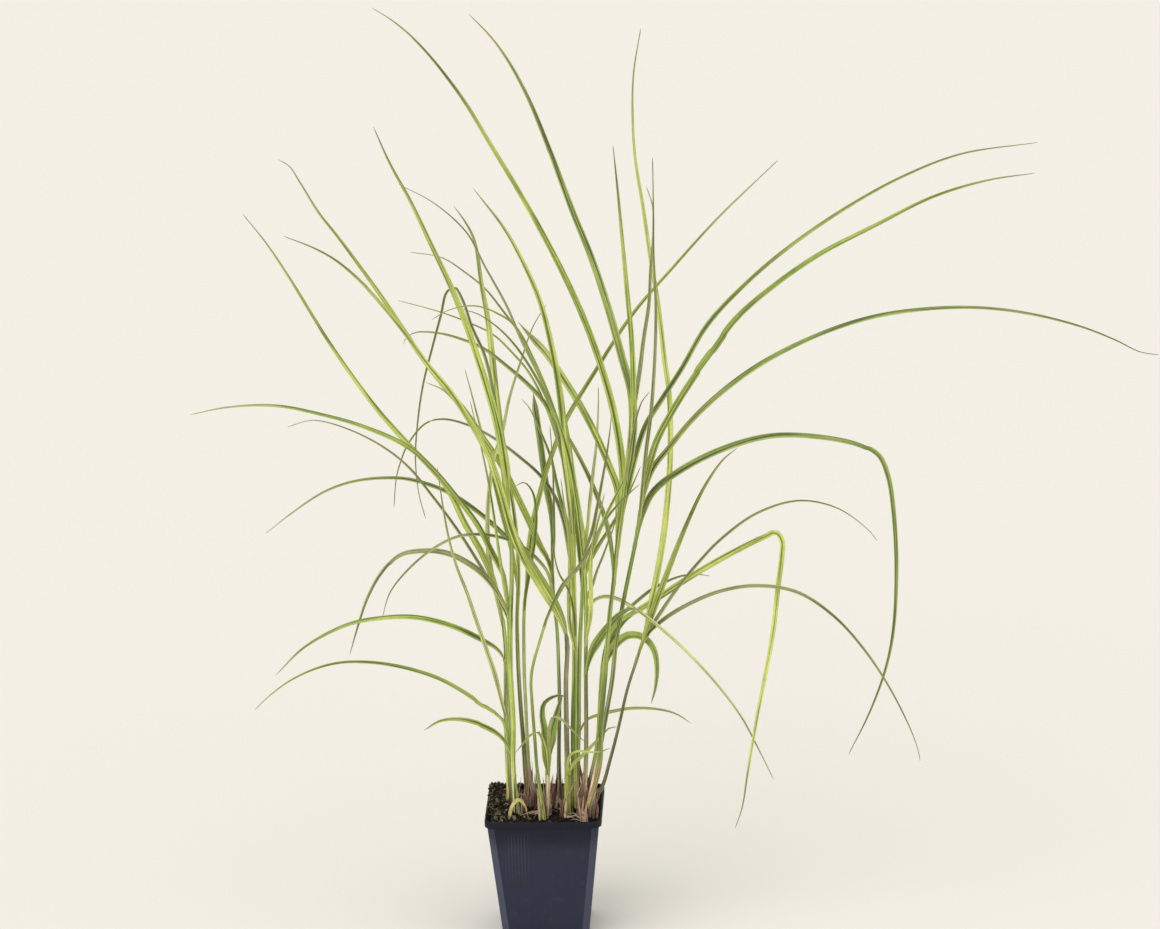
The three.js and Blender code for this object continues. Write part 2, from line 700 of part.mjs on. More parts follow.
// Every pair of samples that are close before the eye, found once because only depth changes.
function findPairs(strands) {
  const size = 10;
  const cells = sortIntoCells(strands, size);
  const pairs = [];
  for (const [key, members] of cells) {
    const [cx, cz] = key.split(',').map(Number);
    const near = [];
    for (let dx = -1; dx <= 1; dx += 1) {
      for (let dz = -1; dz <= 1; dz += 1) {
        near.push(...(cells.get(`${cx + dx},${cz + dz}`) ?? []));
      }
    }
    for (const [n, i] of members) {
      for (const [m, j] of near) {
        if (m <= n) continue;
        const a = strands[n];
        const b = strands[m];
        if (belongTogether(a, i, b, j)) continue;
        const across = Math.hypot(a.x[i] - b.x[j], a.z[i] - b.z[j]);
        const room = a.half[i] + b.half[j] + AIR;
        if (across < room) pairs.push({ a, i, b, j, depth: Math.sqrt(room * room - across * across) });
      }
    }
  }
  return pairs;
}

// Pulls each sample's shift half way to the mean of its neighbours' shifts.
function smoothShifts(strand) {
  const shift = strand.y.map((y, i) => y - strand.start[i]);
  const last = shift.length - 1;
  for (let i = 1; i < last; i += 1) {
    const mean = (shift[i - 1] + shift[i + 1]) / 2;
    strand.y[i] = strand.start[i] + THREE.MathUtils.lerp(shift[i], mean, 0.5 * freedom(strand, i));
  }
  strand.y[last] = strand.start[last] + THREE.MathUtils.lerp(shift[last], shift[last - 1], 0.5);
}

// A blade's root goes with the stem that carries it.
function followTrunk(strand) {
  const gap = strand.trunk.y[strand.rootIndex] - strand.y[0];
  strand.y.forEach((y, i) => {
    strand.y[i] = y + gap * Math.exp(-strand.along[i] / 60);
  });
}

function spreadInDepth(strands) {
  const pairs = findPairs(strands);
  for (let round = 0; round < SPREAD_ROUNDS; round += 1) {
    for (const { a, i, b, j, depth } of pairs) {
      const gap = b.y[j] - a.y[i];
      const lack = depth - Math.abs(gap);
      if (lack <= 0) continue;
      const side = gap >= 0 ? 1 : -1;
      const fa = freedom(a, i);
      const fb = freedom(b, j);
      if (fa + fb === 0) continue;
      const push = (0.35 * lack * side) / (fa + fb);
      a.y[i] -= push * fa;
      b.y[j] += push * fb;
    }
    strands.forEach(smoothShifts);
    strands.filter((s) => s.kind === 'blade').forEach(followTrunk);
  }
}

// The strand's middle line as real points, with more of them where it bends.
function ringPoints(strand) {
  const line = strand.x.map((x, i) => place(x, strand.z[i], strand.y[i]));
  const cost = [0];
  for (let i = 1; i < line.length; i += 1) {
    const step = line[i].distanceTo(line[i - 1]);
    let bend = 0;
    if (i < line.length - 1) {
      const before = line[i].clone().sub(line[i - 1]);
      bend = before.angleTo(line[i + 1].clone().sub(line[i]));
    }
    cost.push(cost[i - 1] + step / LENGTH_PER_RING + bend / BEND_PER_RING);
  }
  const total = cost[cost.length - 1];
  const count = Math.max(3, Math.ceil(total));
  const rings = [];
  for (let k = 0; k <= count; k += 1) {
    const want = (total * k) / count;
    let i = cost.findIndex((c) => c >= want - 1e-9);
    if (i < 1) i = 1;
    const t = (want - cost[i - 1]) / (cost[i] - cost[i - 1]);
    const middle = line[i - 1].clone().lerp(line[i], t);
    const width = 2 * THREE.MathUtils.lerp(strand.half[i - 1], strand.half[i], t);
    rings.push({ middle, width, share: want / total });
  }
  return rings;
}

function tangentAt(rings, k) {
  const before = rings[Math.max(0, k - 1)].middle;
  const after = rings[Math.min(rings.length - 1, k + 1)].middle;
  return after.clone().sub(before).normalize();
}

// A closed solid from positions and triangles.
function solidFrom(positions, triangles) {
  const geometry = new THREE.BufferGeometry();
  geometry.setAttribute('position', new THREE.Float32BufferAttribute(positions, 3));
  geometry.setIndex(triangles);
  const merged = mergeVertices(geometry, 1e-5);
  return new wasm.Manifold(new wasm.Mesh({
    numProp: 3,
    vertProperties: new Float32Array(merged.attributes.position.array),
    triVerts: new Uint32Array(merged.index.array),
  }));
}

function geometryFrom(solid) {
  const mesh = solid.getMesh();
  const geometry = new THREE.BufferGeometry();
  geometry.setAttribute('position', new THREE.BufferAttribute(mesh.vertProperties, 3));
  geometry.setIndex(new THREE.BufferAttribute(mesh.triVerts, 1));
  geometry.computeVertexNormals();
  return geometry;
}

// A round stem of few sides along its strand, closed at both ends.
function stemSolid(strand) {
  const rings = ringPoints(strand);
  const positions = [];
  const triangles = [];
  rings.forEach((ring, k) => {
    const along = tangentAt(rings, k);
    const side = new THREE.Vector3(1, 0, 0);
    side.addScaledVector(along, -side.dot(along)).normalize();
    const back = new THREE.Vector3().crossVectors(along, side);
    for (let n = 0; n < STEM_SIDES; n += 1) {
      const angle = (2 * Math.PI * n) / STEM_SIDES;
      const point = ring.middle.clone();
      point.addScaledVector(side, (Math.cos(angle) * ring.width) / 2);
      point.addScaledVector(back, (Math.sin(angle) * ring.width) / 2);
      positions.push(point.x, point.y, point.z);
    }
  });
  for (let k = 0; k < rings.length - 1; k += 1) {
    for (let n = 0; n < STEM_SIDES; n += 1) {
      const m = (n + 1) % STEM_SIDES;
      const [a, b] = [k * STEM_SIDES + n, k * STEM_SIDES + m];
      const [c, d] = [a + STEM_SIDES, b + STEM_SIDES];
      triangles.push(a, b, d, a, d, c);
    }
  }
  const top = (rings.length - 1) * STEM_SIDES;
  for (let n = 1; n < STEM_SIDES - 1; n += 1) {
    triangles.push(0, n + 1, n);
    triangles.push(top, top + n, top + n + 1);
  }
  return solidFrom(positions, triangles);
}

// The direction across a blade: level by nature, and turned towards the front by its "turn".
function acrossBlade(along, outward, turn) {
  const level = new THREE.Vector3(-outward.y, outward.x, 0);
  level.addScaledVector(along, -level.dot(along)).normalize();
  const facing = new THREE.Vector3().crossVectors(along, EYE_FORWARD).normalize();
  if (facing.dot(level) < 0) facing.negate();
  return level.multiplyScalar(Math.cos(turn)).addScaledVector(facing, Math.sin(turn)).normalize();
}

// A keeled blade: each ring is left edge, upper midrib, right edge, lower midrib.
function bladeSolid(strand) {
  const rings = ringPoints(strand);
  const first = rings[0].middle;
  const last = rings[rings.length - 1].middle;
  const outward = last.clone().sub(first).setZ(0).normalize();
  const turn = THREE.MathUtils.degToRad(strand.blade.turn);
  const positions = [];
  const triangles = [];
  let previous = null;
  rings.slice(0, -1).forEach((ring, k) => {
    const along = tangentAt(rings, k);
    const across = acrossBlade(along, outward, turn);
    if (previous && across.dot(previous) < 0) across.negate();
    previous = across;
    const up = new THREE.Vector3().crossVectors(across, along);
    const thick = THREE.MathUtils.lerp(BLADE_THICKNESS, TIP_THICKNESS, ring.share);
    const rise = (BLADE_FOLD * ring.width) / 2;
    const corners = [[-ring.width / 2, rise], [0, thick / 2], [ring.width / 2, rise], [0, -thick / 2]];
    corners.forEach(([sideways, upward]) => {
      const point = ring.middle.clone().addScaledVector(across, sideways).addScaledVector(up, upward);
      positions.push(point.x, point.y, point.z);
    });
  });
  positions.push(last.x, last.y, last.z);
  const count = rings.length - 1;
  for (let k = 0; k < count - 1; k += 1) {
    const [l, c, r, b] = [0, 1, 2, 3].map((n) => 4 * k + n);
    const [l2, c2, r2, b2] = [l + 4, c + 4, r + 4, b + 4];
    triangles.push(l, c, c2, l, c2, l2);
    triangles.push(r, c2, c, r, r2, c2);
    triangles.push(l, b2, b, l, l2, b2);
    triangles.push(r, b, b2, r, b2, r2);
  }
  const [l, c, r, b] = [0, 1, 2, 3].map((n) => 4 * (count - 1) + n);
  const tip = 4 * count;
  triangles.push(l, c, tip, c, r, tip, r, b, tip, b, l, tip);
  triangles.push(0, 3, 1, 1, 3, 2);
  return solidFrom(positions, triangles);
}

// A square outline with round corners, at one height.
function roundedSquare(width, radius, z) {
  const inner = width / 2 - radius;
  const points = [];
  for (let corner = 0; corner < 4; corner += 1) {
    const start = (corner * Math.PI) / 2;
    const cx = inner * Math.sign(Math.cos(start + Math.PI / 4));
    const cy = inner * Math.sign(Math.sin(start + Math.PI / 4));
    for (let step = 0; step <= CORNER_STEPS; step += 1) {
      const angle = start + (step * Math.PI) / 2 / CORNER_STEPS;
      points.push([cx + radius * Math.cos(angle), cy + radius * Math.sin(angle), z]);
    }
  }
  return points;
}

// A closed solid through a stack of outlines that have the same number of points.
function stackSolid(outlines) {
  const size = outlines[0].length;
  const positions = outlines.flat(2);
  const triangles = [];
  for (let k = 0; k < outlines.length - 1; k += 1) {
    for (let n = 0; n < size; n += 1) {
      const m = (n + 1) % size;
      const [a, b] = [k * size + n, k * size + m];
      triangles.push(a, b, b + size, a, b + size, a + size);
    }
  }
  const top = (outlines.length - 1) * size;
  for (let n = 1; n < size - 1; n += 1) {
    triangles.push(0, n + 1, n);
    triangles.push(top, top + n, top + n + 1);
  }
  return solidFrom(positions, triangles);
}

function bodyWidth(z) {
  return THREE.MathUtils.lerp(POT_BASE_WIDTH, POT_BODY_TOP_WIDTH, z / (POT_HEIGHT - RIM_DEPTH));
}

// An upright round peg, used to cut holes.
function pegSolid(x, y, radius, low, high) {
  const outlines = [low, high].map((z) => {
    const points = [];
    for (let n = 0; n < HOLE_SIDES; n += 1) {
      const angle = (2 * Math.PI * n) / HOLE_SIDES;
      points.push([x + radius * Math.cos(angle), y + radius * Math.sin(angle), z]);
    }
    return points;
  });
  return stackSolid(outlines);
}

// The tub with its rim, hollow from the top and with four drain holes in the floor.
function potSolid() {
  const under = POT_HEIGHT - RIM_DEPTH;
  const outside = stackSolid([
    roundedSquare(bodyWidth(0), CORNER_RADIUS, 0),
    roundedSquare(bodyWidth(under), CORNER_RADIUS, under),
    roundedSquare(RIM_WIDTH, CORNER_RADIUS, under + 0.6),
    roundedSquare(RIM_WIDTH, CORNER_RADIUS, POT_HEIGHT),
  ]);
  const wallShare = 2 * POT_WALL;
  const hollow = stackSolid([
    roundedSquare(bodyWidth(POT_FLOOR) - wallShare, CORNER_RADIUS - POT_WALL, POT_FLOOR),
    roundedSquare(bodyWidth(under) - wallShare, CORNER_RADIUS - POT_WALL, under),
    roundedSquare(RIM_WIDTH - wallShare, CORNER_RADIUS - POT_WALL, under + 2),
    roundedSquare(RIM_WIDTH - wallShare, CORNER_RADIUS - POT_WALL, POT_HEIGHT + 5),
  ]);
  let pot = outside.subtract(hollow);
  for (const [sx, sy] of [[1, 1], [1, -1], [-1, 1], [-1, -1]]) {
    pot = pot.subtract(pegSolid(sx * DRAIN_PLACE, sy * DRAIN_PLACE, DRAIN_RADIUS, -5, POT_FLOOR + 5));
  }
  return pot;
}

// The soil stands clear of the pot by the fit gap and has a plain hole for each stem.
function soilSolid(trunks) {
  const low = POT_FLOOR + FIT_GAP;
  const shrink = 2 * (POT_WALL + FIT_GAP);
  const radius = CORNER_RADIUS - POT_WALL - FIT_GAP;
  let soil = stackSolid([
    roundedSquare(bodyWidth(low) - shrink, radius, low),
    roundedSquare(bodyWidth(SOIL_TOP) - shrink, radius, SOIL_TOP),
  ]);
  for (const trunk of trunks) {
    const [x, y] = trunk.stem.foot;
    const roundness = Math.cos(Math.PI / HOLE_SIDES);
    const hole = (trunk.half[0] + FIT_GAP + 0.05) / roundness;
    soil = soil.subtract(pegSolid(x, y, hole, STEM_FOOT - FIT_GAP, SOIL_TOP + 5));
  }
  return soil;
}

function named(name, solid, colour, roughness) {
  const material = new THREE.MeshStandardMaterial({ color: colour, roughness, metalness: 0 });
  const mesh = new THREE.Mesh(geometryFrom(solid), material);
  mesh.name = name;
  return mesh;
}

const trunks = STEMS.map(layStem);
const leaves = trunks.flatMap(
  (trunk) => trunk.stem.blades.map((blade) => layBlade(trunk.stem, trunk, blade)),
);
spreadInDepth([...trunks, ...leaves]);

const plant = new THREE.Group();
plant.add(named('pot', potSolid(), COLOURS.pot, 0.45));
plant.add(named('soil', soilSolid(trunks), COLOURS.soil, 0.95));
const greens = [COLOURS.fresh, COLOURS.deep, COLOURS.shaded];
trunks.forEach((trunk, n) => {
  let solid = stemSolid(trunk);
  for (const leaf of leaves.filter((one) => one.trunk === trunk)) {
    solid = solid.add(bladeSolid(leaf));
  }
  plant.add(named(trunk.stem.name, solid, greens[n % greens.length], 0.6));
});

export default plant;
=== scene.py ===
"""Flamingo maiden grass in a square nursery pot, finished for rendering.

Run as a script in Blender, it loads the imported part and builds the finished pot, soil and grass
around it, in metres. Each operator builds one group of pieces, and the panel lists them.
"""

import math
import random

import bmesh
import bpy
import numpy as np
from mathutils import Matrix, Vector, noise


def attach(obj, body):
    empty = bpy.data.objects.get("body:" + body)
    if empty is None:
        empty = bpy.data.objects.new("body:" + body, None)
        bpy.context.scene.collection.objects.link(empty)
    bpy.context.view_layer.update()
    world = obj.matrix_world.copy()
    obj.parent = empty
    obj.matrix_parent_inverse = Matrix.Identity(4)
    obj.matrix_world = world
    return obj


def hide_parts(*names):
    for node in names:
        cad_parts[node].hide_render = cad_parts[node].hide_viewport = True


bl_info = {
    "name": "Potted Maiden Grass",
    "version": (1, 0, 0),
    "blender": (4, 5, 0),
    "location": "View3D > Sidebar > Maiden Grass",
    "description": "Builds a finished clump of maiden grass in its nursery pot",
    "category": "Add Mesh",
}

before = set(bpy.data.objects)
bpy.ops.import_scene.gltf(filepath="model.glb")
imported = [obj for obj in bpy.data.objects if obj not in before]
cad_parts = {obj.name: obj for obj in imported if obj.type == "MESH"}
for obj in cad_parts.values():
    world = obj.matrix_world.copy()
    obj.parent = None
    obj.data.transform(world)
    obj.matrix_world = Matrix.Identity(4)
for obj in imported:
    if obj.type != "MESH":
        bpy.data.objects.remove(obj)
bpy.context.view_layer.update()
MM = 0.001

# The pot and its soil, in millimetres, as the part's solids have them.
POT_HEIGHT = 100
POT_BASE_WIDTH = 66
POT_BODY_TOP_WIDTH = 86
RIM_WIDTH = 90
RIM_DEPTH = 5.5
POT_WALL = 1.6
POT_FLOOR = 2
CORNER_RADIUS = 8
DRAIN_RADIUS = 4
DRAIN_PLACE = 17
SOIL_TOP = 92
SOIL_GAP = 0.3

# A stem: the heights of its foot and its middle in the soil, how far above the soil it stays
# upright, how much and how far up its sheaths swell it, and how thin it is at its top.
STEM_FOOT = 68
STEM_MIDDLE = 80
UPRIGHT = 5
SHEATH_SWELL = 1.25
SHEATH_RISE = 45
STEM_TOP_SHARE = 0.7

# A blade: how deeply it is folded, how far its root is sunk in the stem, its widths at root and
# tip, how much its margins widen it, how far out it is fully open, and how its lean and tip curve.
BLADE_FOLD = 0.22
ROOT_SUNK = 9
ROOT_WIDTH = 2.5
TIP_WIDTH = 0.75
WITH_MARGINS = 1.14
OPENS_OVER = 40
LEAN_POWER = 1.25
TIP_POWER = 0.56
TIP_REACH = 1.12
BLUNTNESS = 9

# A random draw of any direction, in radians.
ANY_TURN = (0, 6.28)

# The eye that the stems and blades are drawn from, which is also the camera's place.
EYE_DISTANCE = 4500
EYE_TURN = math.radians(-2.29)
EYE_LIFT = math.radians(16.56)
EYE_ROLL = math.radians(-1.225)
EYE_LENS = 183.65
EYE_AIM = np.array([32.8, 0, 372.8])
EYE_FORWARD = np.array([
    math.sin(EYE_TURN) * math.cos(EYE_LIFT),
    math.cos(EYE_TURN) * math.cos(EYE_LIFT),
    -math.sin(EYE_LIFT),
])
EYE = EYE_AIM - EYE_DISTANCE * EYE_FORWARD

# How strands that cross are kept apart in depth: the air left between them, the step between their
# samples and how often they are pushed; how far out a strand is free to move, and how far it may
# lie against its own stem; the size of the cells in which near samples are looked for, the share of
# each push, and how far out a blade follows a move of its root.
AIR = 1.4
SAMPLE_STEP = 4
SPREAD_ROUNDS = 500
FREE_AFTER = 26
TOGETHER_TO = FREE_AFTER * 1.6
CELL = 10
PUSH = 0.35
ROOT_FADE = 60

# Each stem has its foot in the soil, the points it rises through, and its blades. Points are x and
# z in the upright plane through the pot's middle, as the eye sees them. "lean" is how far the tip
# is behind (+) or in front (-) of the foot, and "turn" how far a blade faces the front.
STEMS = [
    {
        "name": "stem_left_outer", "foot": (-27, 10), "thick": 2.1, "lean": 8,
        "rises": [(-28, 125), (-28.5, 165), (-28, 200), (-27.5, 226), (-29, 252)],
        "blades": [
            {"leaves": 250, "wide": 4.6, "lean": 60, "turn": 60, "tint": "fresh", "seen": [
                (-35, 280), (-44, 304), (-55.5, 326), (-69, 356), (-82.5, 373.5), (-101, 394.5),
                (-121.5, 420), (-141.5, 449.5), (-159, 478), (-183.5, 522), (-200, 549),
                (-217, 572)]},
            {"leaves": 238, "wide": 3.6, "lean": 40, "turn": 70, "tint": "pale", "seen": [
                (-33.5, 270), (-38, 295), (-39, 320), (-37.5, 347), (-33, 377), (-25.5, 400.5),
                (-19.5, 427), (-10, 456), (-0.5, 482), (10, 499)]},
            {"leaves": 213, "wide": 5, "lean": -30, "turn": 45, "tint": "green", "seen": [
                (-32.5, 224.5), (-50.5, 236.5), (-72, 246.5), (-98, 252.5), (-125.5, 251.5),
                (-146, 247.5), (-166.5, 238.5), (-185, 226.5), (-205, 206)]},
            {"leaves": 170, "wide": 3.2, "lean": -60, "turn": 60, "tint": "pale", "seen": [
                (-31, 182), (-36, 205), (-41.5, 223.5), (-48.5, 246.5), (-56, 272), (-63, 292),
                (-68, 312), (-72, 337), (-76, 372)]},
            {"leaves": 157, "wide": 3.6, "lean": -80, "turn": 50, "tint": "green", "seen": [
                (-31.5, 169), (-44, 178.5), (-61, 191), (-79.5, 202), (-105.5, 211),
                (-131.5, 215.5), (-155, 215.5), (-175, 210.5), (-195.5, 200.5), (-213, 187),
                (-222, 178)]},
        ],
    },
    {
        "name": "stem_left_inner", "foot": (-24, -4), "thick": 2, "lean": -4,
        "rises": [(-25.5, 125), (-25, 165), (-25, 210), (-24.5, 240), (-24, 264)],
        "blades": [
            {"leaves": 262, "wide": 5, "lean": 20, "turn": 45, "tint": "green", "seen": [
                (-27.5, 285.5), (-35.5, 303.5), (-46.5, 326.5), (-60, 346), (-80, 371.5),
                (-98.5, 389), (-131.5, 405), (-160, 414), (-197.5, 422), (-235, 421),
                (-262.5, 415.5)]},
            {"leaves": 248, "wide": 2.6, "lean": 110, "turn": 50, "tint": "dusky", "seen": [
                (-30.5, 264), (-38, 280), (-47.5, 297.5), (-62, 322), (-81, 350), (-98.5, 373),
                (-119, 390), (-146, 404), (-170, 410), (-189, 405)]},
            {"leaves": 141, "wide": 4.8, "lean": -45, "turn": 60, "tint": "fresh", "seen": [
                (-32.5, 154.5), (-46, 163.5), (-63, 168.5), (-79, 167.5), (-92, 160)]},
            {"leaves": 252, "wide": 2.6, "lean": 0, "turn": 60, "tint": "fresh", "seen": [
                (-27.5, 280), (-30, 300), (-32, 318), (-34.5, 340), (-37.5, 362), (-41, 382),
                (-45, 402), (-49.5, 424)]},
        ],
    },
    {
        "name": "stem_left_front", "foot": (-21, -17), "thick": 2.2, "lean": -8,
        "rises": [(-24, 128), (-23, 165), (-24, 210), (-23, 250), (-21.5, 280), (-21, 310),
            (-22, 336)],
        "blades": [
            {"leaves": 334, "wide": 5.6, "lean": -70, "turn": 60, "tint": "fresh", "seen": [
                (-24, 366), (-28.5, 401), (-36, 434), (-47, 472), (-60, 510), (-76, 547.5),
                (-91, 582), (-105, 610), (-116.5, 638)]},
            {"leaves": 318, "wide": 3, "lean": 50, "turn": 35, "tint": "dusky", "seen": [
                (-24.5, 350), (-29, 410), (-37, 458), (-46.5, 482), (-53, 503), (-59, 513.5),
                (-65, 510), (-70, 492), (-77.5, 465.5), (-85, 437.5), (-90, 407.5), (-92.5, 378),
                (-90.5, 350), (-86, 331)]},
            {"leaves": 248, "wide": 5, "lean": 30, "turn": 50, "tint": "dusky", "seen": [
                (-30.5, 268), (-40.5, 283.5), (-54.5, 295.5), (-72, 304), (-91, 305.5), (-107, 302),
                (-121.5, 287), (-132.5, 267), (-140, 246), (-147.5, 222)]},
        ],
    },
    {
        "name": "stem_left_tall", "foot": (-13, 8), "thick": 1.9, "lean": 14,
        "rises": [(-14.5, 125), (-15.5, 150), (-17, 180), (-18, 213), (-18, 250), (-16, 285),
            (-17, 320), (-19.5, 346)],
        "blades": [
            {"leaves": 344, "wide": 5.6, "lean": 110, "turn": 70, "tint": "bright", "seen": [
                (-24, 375), (-28.5, 407), (-31, 446), (-34.5, 487.5), (-38.5, 515), (-43, 549),
                (-49, 563), (-58, 576.5)]},
            {"leaves": 270, "wide": 3, "lean": 140, "turn": 60, "tint": "fresh", "seen": [
                (-20, 300), (-29, 340), (-37, 380), (-43.5, 408.5), (-49.5, 435), (-53, 449.5)]},
            {"leaves": 298, "wide": 2.6, "lean": -60, "turn": 60, "tint": "bright", "seen": [
                (-17, 322), (-19.5, 345), (-22.3, 365), (-24.5, 388), (-26, 408), (-28, 430),
                (-31.5, 455)]},
        ],
    },
    {
        "name": "stem_slender", "foot": (0, -23), "thick": 1.5, "lean": 8,
        "rises": [(-5.5, 129), (-6.5, 150), (-8, 180), (-8.5, 200), (-6.5, 213), (-1, 231.5),
            (5.5, 253)],
        "blades": [
            {"leaves": 251, "wide": 3.6, "lean": -80, "turn": 55, "tint": "dusky", "seen": [
                (10.5, 263), (18.5, 278), (29, 290), (38, 304), (45, 318), (53, 331), (63, 343),
                (78, 357)]},
        ],
    },
    {
        "name": "stem_left_back", "foot": (-9, 20), "thick": 1.7, "lean": 14,
        "rises": [(-11.5, 125), (-12.5, 150), (-13, 180), (-13.5, 205), (-13, 245), (-12, 262),
            (-10, 278)],
        "blades": [
            {"leaves": 276, "wide": 3.8, "lean": 40, "turn": 70, "tint": "fresh", "seen": [
                (-8, 305), (-4.5, 326), (1.5, 350), (8.5, 373), (22.5, 407.5), (43, 442), (75, 491),
                (106, 527), (140.5, 565), (186, 609)]},
            {"leaves": 262, "wide": 3.6, "lean": -60, "turn": 60, "tint": "green", "seen": [
                (-7.5, 290), (-3, 315), (-1.5, 336.5), (-4, 352), (-10, 359), (-17, 356)]},
        ],
    },
    {
        "name": "young_shoot", "foot": (3, -13), "thick": 2.1, "lean": 0,
        "rises": [(2.5, 118), (3, 128), (5, 141)],
        "blades": [
            {"leaves": 139, "wide": 7.6, "lean": 14, "turn": 80, "tint": "lush", "opens": 18,
             "seen": [
                (7, 157.5), (10, 170), (13, 180.5), (15.5, 188)]},
            {"leaves": 124, "wide": 6.4, "lean": -22, "turn": 75, "tint": "lush", "opens": 18,
             "seen": [
                (1.5, 146), (1, 160), (-0.5, 172), (1, 181), (6, 185.5), (12, 187.5),
                (19, 186.5)]},
            {"leaves": 127, "wide": 3, "lean": -36, "turn": 50, "tint": "green", "seen": [
                (0.5, 148), (-4, 158), (-10, 155.5), (-16, 148.5), (-22, 141)]},
            {"leaves": 133, "wide": 3.2, "lean": -34, "turn": 60, "tint": "dusky", "seen": [
                (5, 162), (9, 171), (14.5, 168), (22, 160), (33, 148.5)]},
        ],
    },
    {
        "name": "stem_middle_back", "foot": (11, 16), "thick": 1.7, "lean": 14,
        "rises": [(11.5, 125), (12, 150), (13, 180), (13, 213), (12.5, 240), (10.5, 264), (10, 290),
            (10.5, 316)],
        "blades": [
            {"leaves": 314, "wide": 4.4, "lean": 110, "turn": 75, "tint": "deep", "blunt": True,
             "seen": [
                (10, 335), (7, 353.5), (5, 371.5), (2.5, 395), (0.5, 412), (-1.5, 430)]},
            {"leaves": 281, "wide": 5, "lean": 50, "turn": 60, "tint": "fresh", "seen": [
                (7, 297), (1, 309), (-7.5, 330), (-15.5, 348.5), (-26, 372), (-39, 392.5),
                (-53.5, 416), (-68.5, 435.5), (-87, 462), (-112, 503), (-144, 551), (-160, 573),
                (-173, 596), (-181, 609), (-189, 614)]},
            {"leaves": 270, "wide": 3.4, "lean": -70, "turn": 40, "tint": "dusky", "seen": [
                (6, 288), (-3, 300), (-12, 308), (-23.5, 314), (-41, 318), (-60.5, 317),
                (-79.5, 308), (-99.5, 291.5), (-115, 272), (-121.5, 252)]},
            {"leaves": 256, "wide": 4.6, "lean": 60, "turn": 40, "tint": "deep", "seen": [
                (6.5, 275), (-1, 287), (-10, 299), (-26.5, 318), (-45.5, 336), (-68, 352),
                (-96.5, 362.5), (-118, 364), (-142, 361), (-163.5, 353), (-189, 336),
                (-208.5, 320.5)]},
            {"leaves": 292, "wide": 1.8, "lean": -40, "turn": 50, "tint": "dusky", "seen": [
                (11.8, 312), (12.2, 332), (12.2, 352), (12, 372), (11.4, 389), (10.5, 404)]},
        ],
    },
    {
        "name": "stem_middle_front", "foot": (18, -11), "thick": 2.4, "lean": -8,
        "rises": [(18, 125), (18, 160), (18.5, 200), (20, 225), (19.5, 238)],
        "blades": [
            {"leaves": 236, "wide": 5.4, "lean": -60, "turn": 65, "tint": "bright", "seen": [
                (14, 251), (-1.5, 280), (-12.5, 301), (-20, 322), (-27, 350), (-36, 380),
                (-50, 408), (-64, 431), (-80, 452), (-102, 484.5), (-128.5, 517), (-148, 535),
                (-164.5, 545), (-187, 554.5)]},
            {"leaves": 226, "wide": 4.6, "lean": 20, "turn": 60, "tint": "green", "seen": [
                (18, 247), (12.5, 262), (6, 275), (-1, 287), (-8, 299), (-14, 310), (-21, 325),
                (-28, 351), (-36, 377), (-47, 400), (-60, 422), (-70, 433), (-83, 439)]},
            {"leaves": 119, "wide": 3.6, "lean": -20, "turn": 60, "tint": "green", "seen": [
                (22, 131), (30, 139), (41.5, 151), (51, 160.5), (58, 161.5)]},
            {"leaves": 130, "wide": 2.6, "lean": -40, "turn": 50, "tint": "fresh", "seen": [
                (21, 140), (28, 142), (35, 141), (43, 141.5), (51.5, 144.5)]},
        ],
    },
    {
        "name": "stem_middle", "foot": (23, 5), "thick": 2.5, "lean": 4,
        "rises": [(23, 130), (23.5, 165), (25, 200), (26, 240), (26, 280), (27, 321)],
        "blades": [
            {"leaves": 319, "wide": 5.4, "lean": -120, "turn": 70, "tint": "bright", "seen": [
                (25.5, 354), (22, 387.5), (19, 427), (13.5, 465.5), (4.5, 504), (-9.5, 538),
                (-21, 559.5), (-43, 590)]},
            {"leaves": 290, "wide": 2.8, "lean": 120, "turn": 50, "tint": "dusky", "seen": [
                (25, 325), (21, 370), (15, 405), (8, 432), (0, 451), (-9.5, 471.5), (-20, 498.5),
                (-35.5, 529), (-49, 556), (-73, 579), (-98.5, 593.5)]},
            {"leaves": 275, "wide": 3, "lean": 150, "turn": 40, "tint": "dusky", "seen": [
                (23, 305), (19, 330), (13, 348), (2.5, 364.5), (-12.5, 379), (-30.5, 393.5),
                (-50, 404.5), (-70, 410), (-83.5, 407), (-97.5, 391), (-104, 376), (-107.5, 363.5),
                (-110, 340)]},
            {"leaves": 296, "wide": 3.2, "lean": 60, "turn": 60, "tint": "deep", "seen": [
                (24, 318), (20.5, 333), (17, 347), (14, 362), (11.5, 376), (7.5, 388.5),
                (2.5, 401.5), (-5, 418.5), (-10.5, 425)]},
            {"leaves": 224, "wide": 3, "lean": -40, "turn": 60, "tint": "fresh", "seen": [
                (22.5, 243), (22, 262), (22.8, 282), (23.5, 302), (22.5, 322), (20, 342),
                (18, 362)]},
            {"leaves": 244, "wide": 2.2, "lean": -70, "turn": 50, "tint": "deep", "seen": [
                (24.5, 262), (20.5, 276), (15.5, 285), (12.5, 296), (11.5, 309)]},
        ],
    },
    {
        "name": "stem_right_back", "foot": (25, 23), "thick": 2, "lean": 18,
        "rises": [(26, 130), (27.5, 165), (28.5, 200), (30, 233), (32, 262), (33.5, 290),
            (32, 321)],
        "blades": [
            {"leaves": 319, "wide": 4.6, "lean": 40, "turn": 50, "tint": "deep", "seen": [
                (28, 345), (22, 375), (14, 408), (6.5, 423), (-6, 437.5), (-20, 450.5),
                (-38.5, 465.5), (-54, 472.5), (-71, 477.5), (-88.5, 478.5), (-96, 475),
                (-99, 469)]},
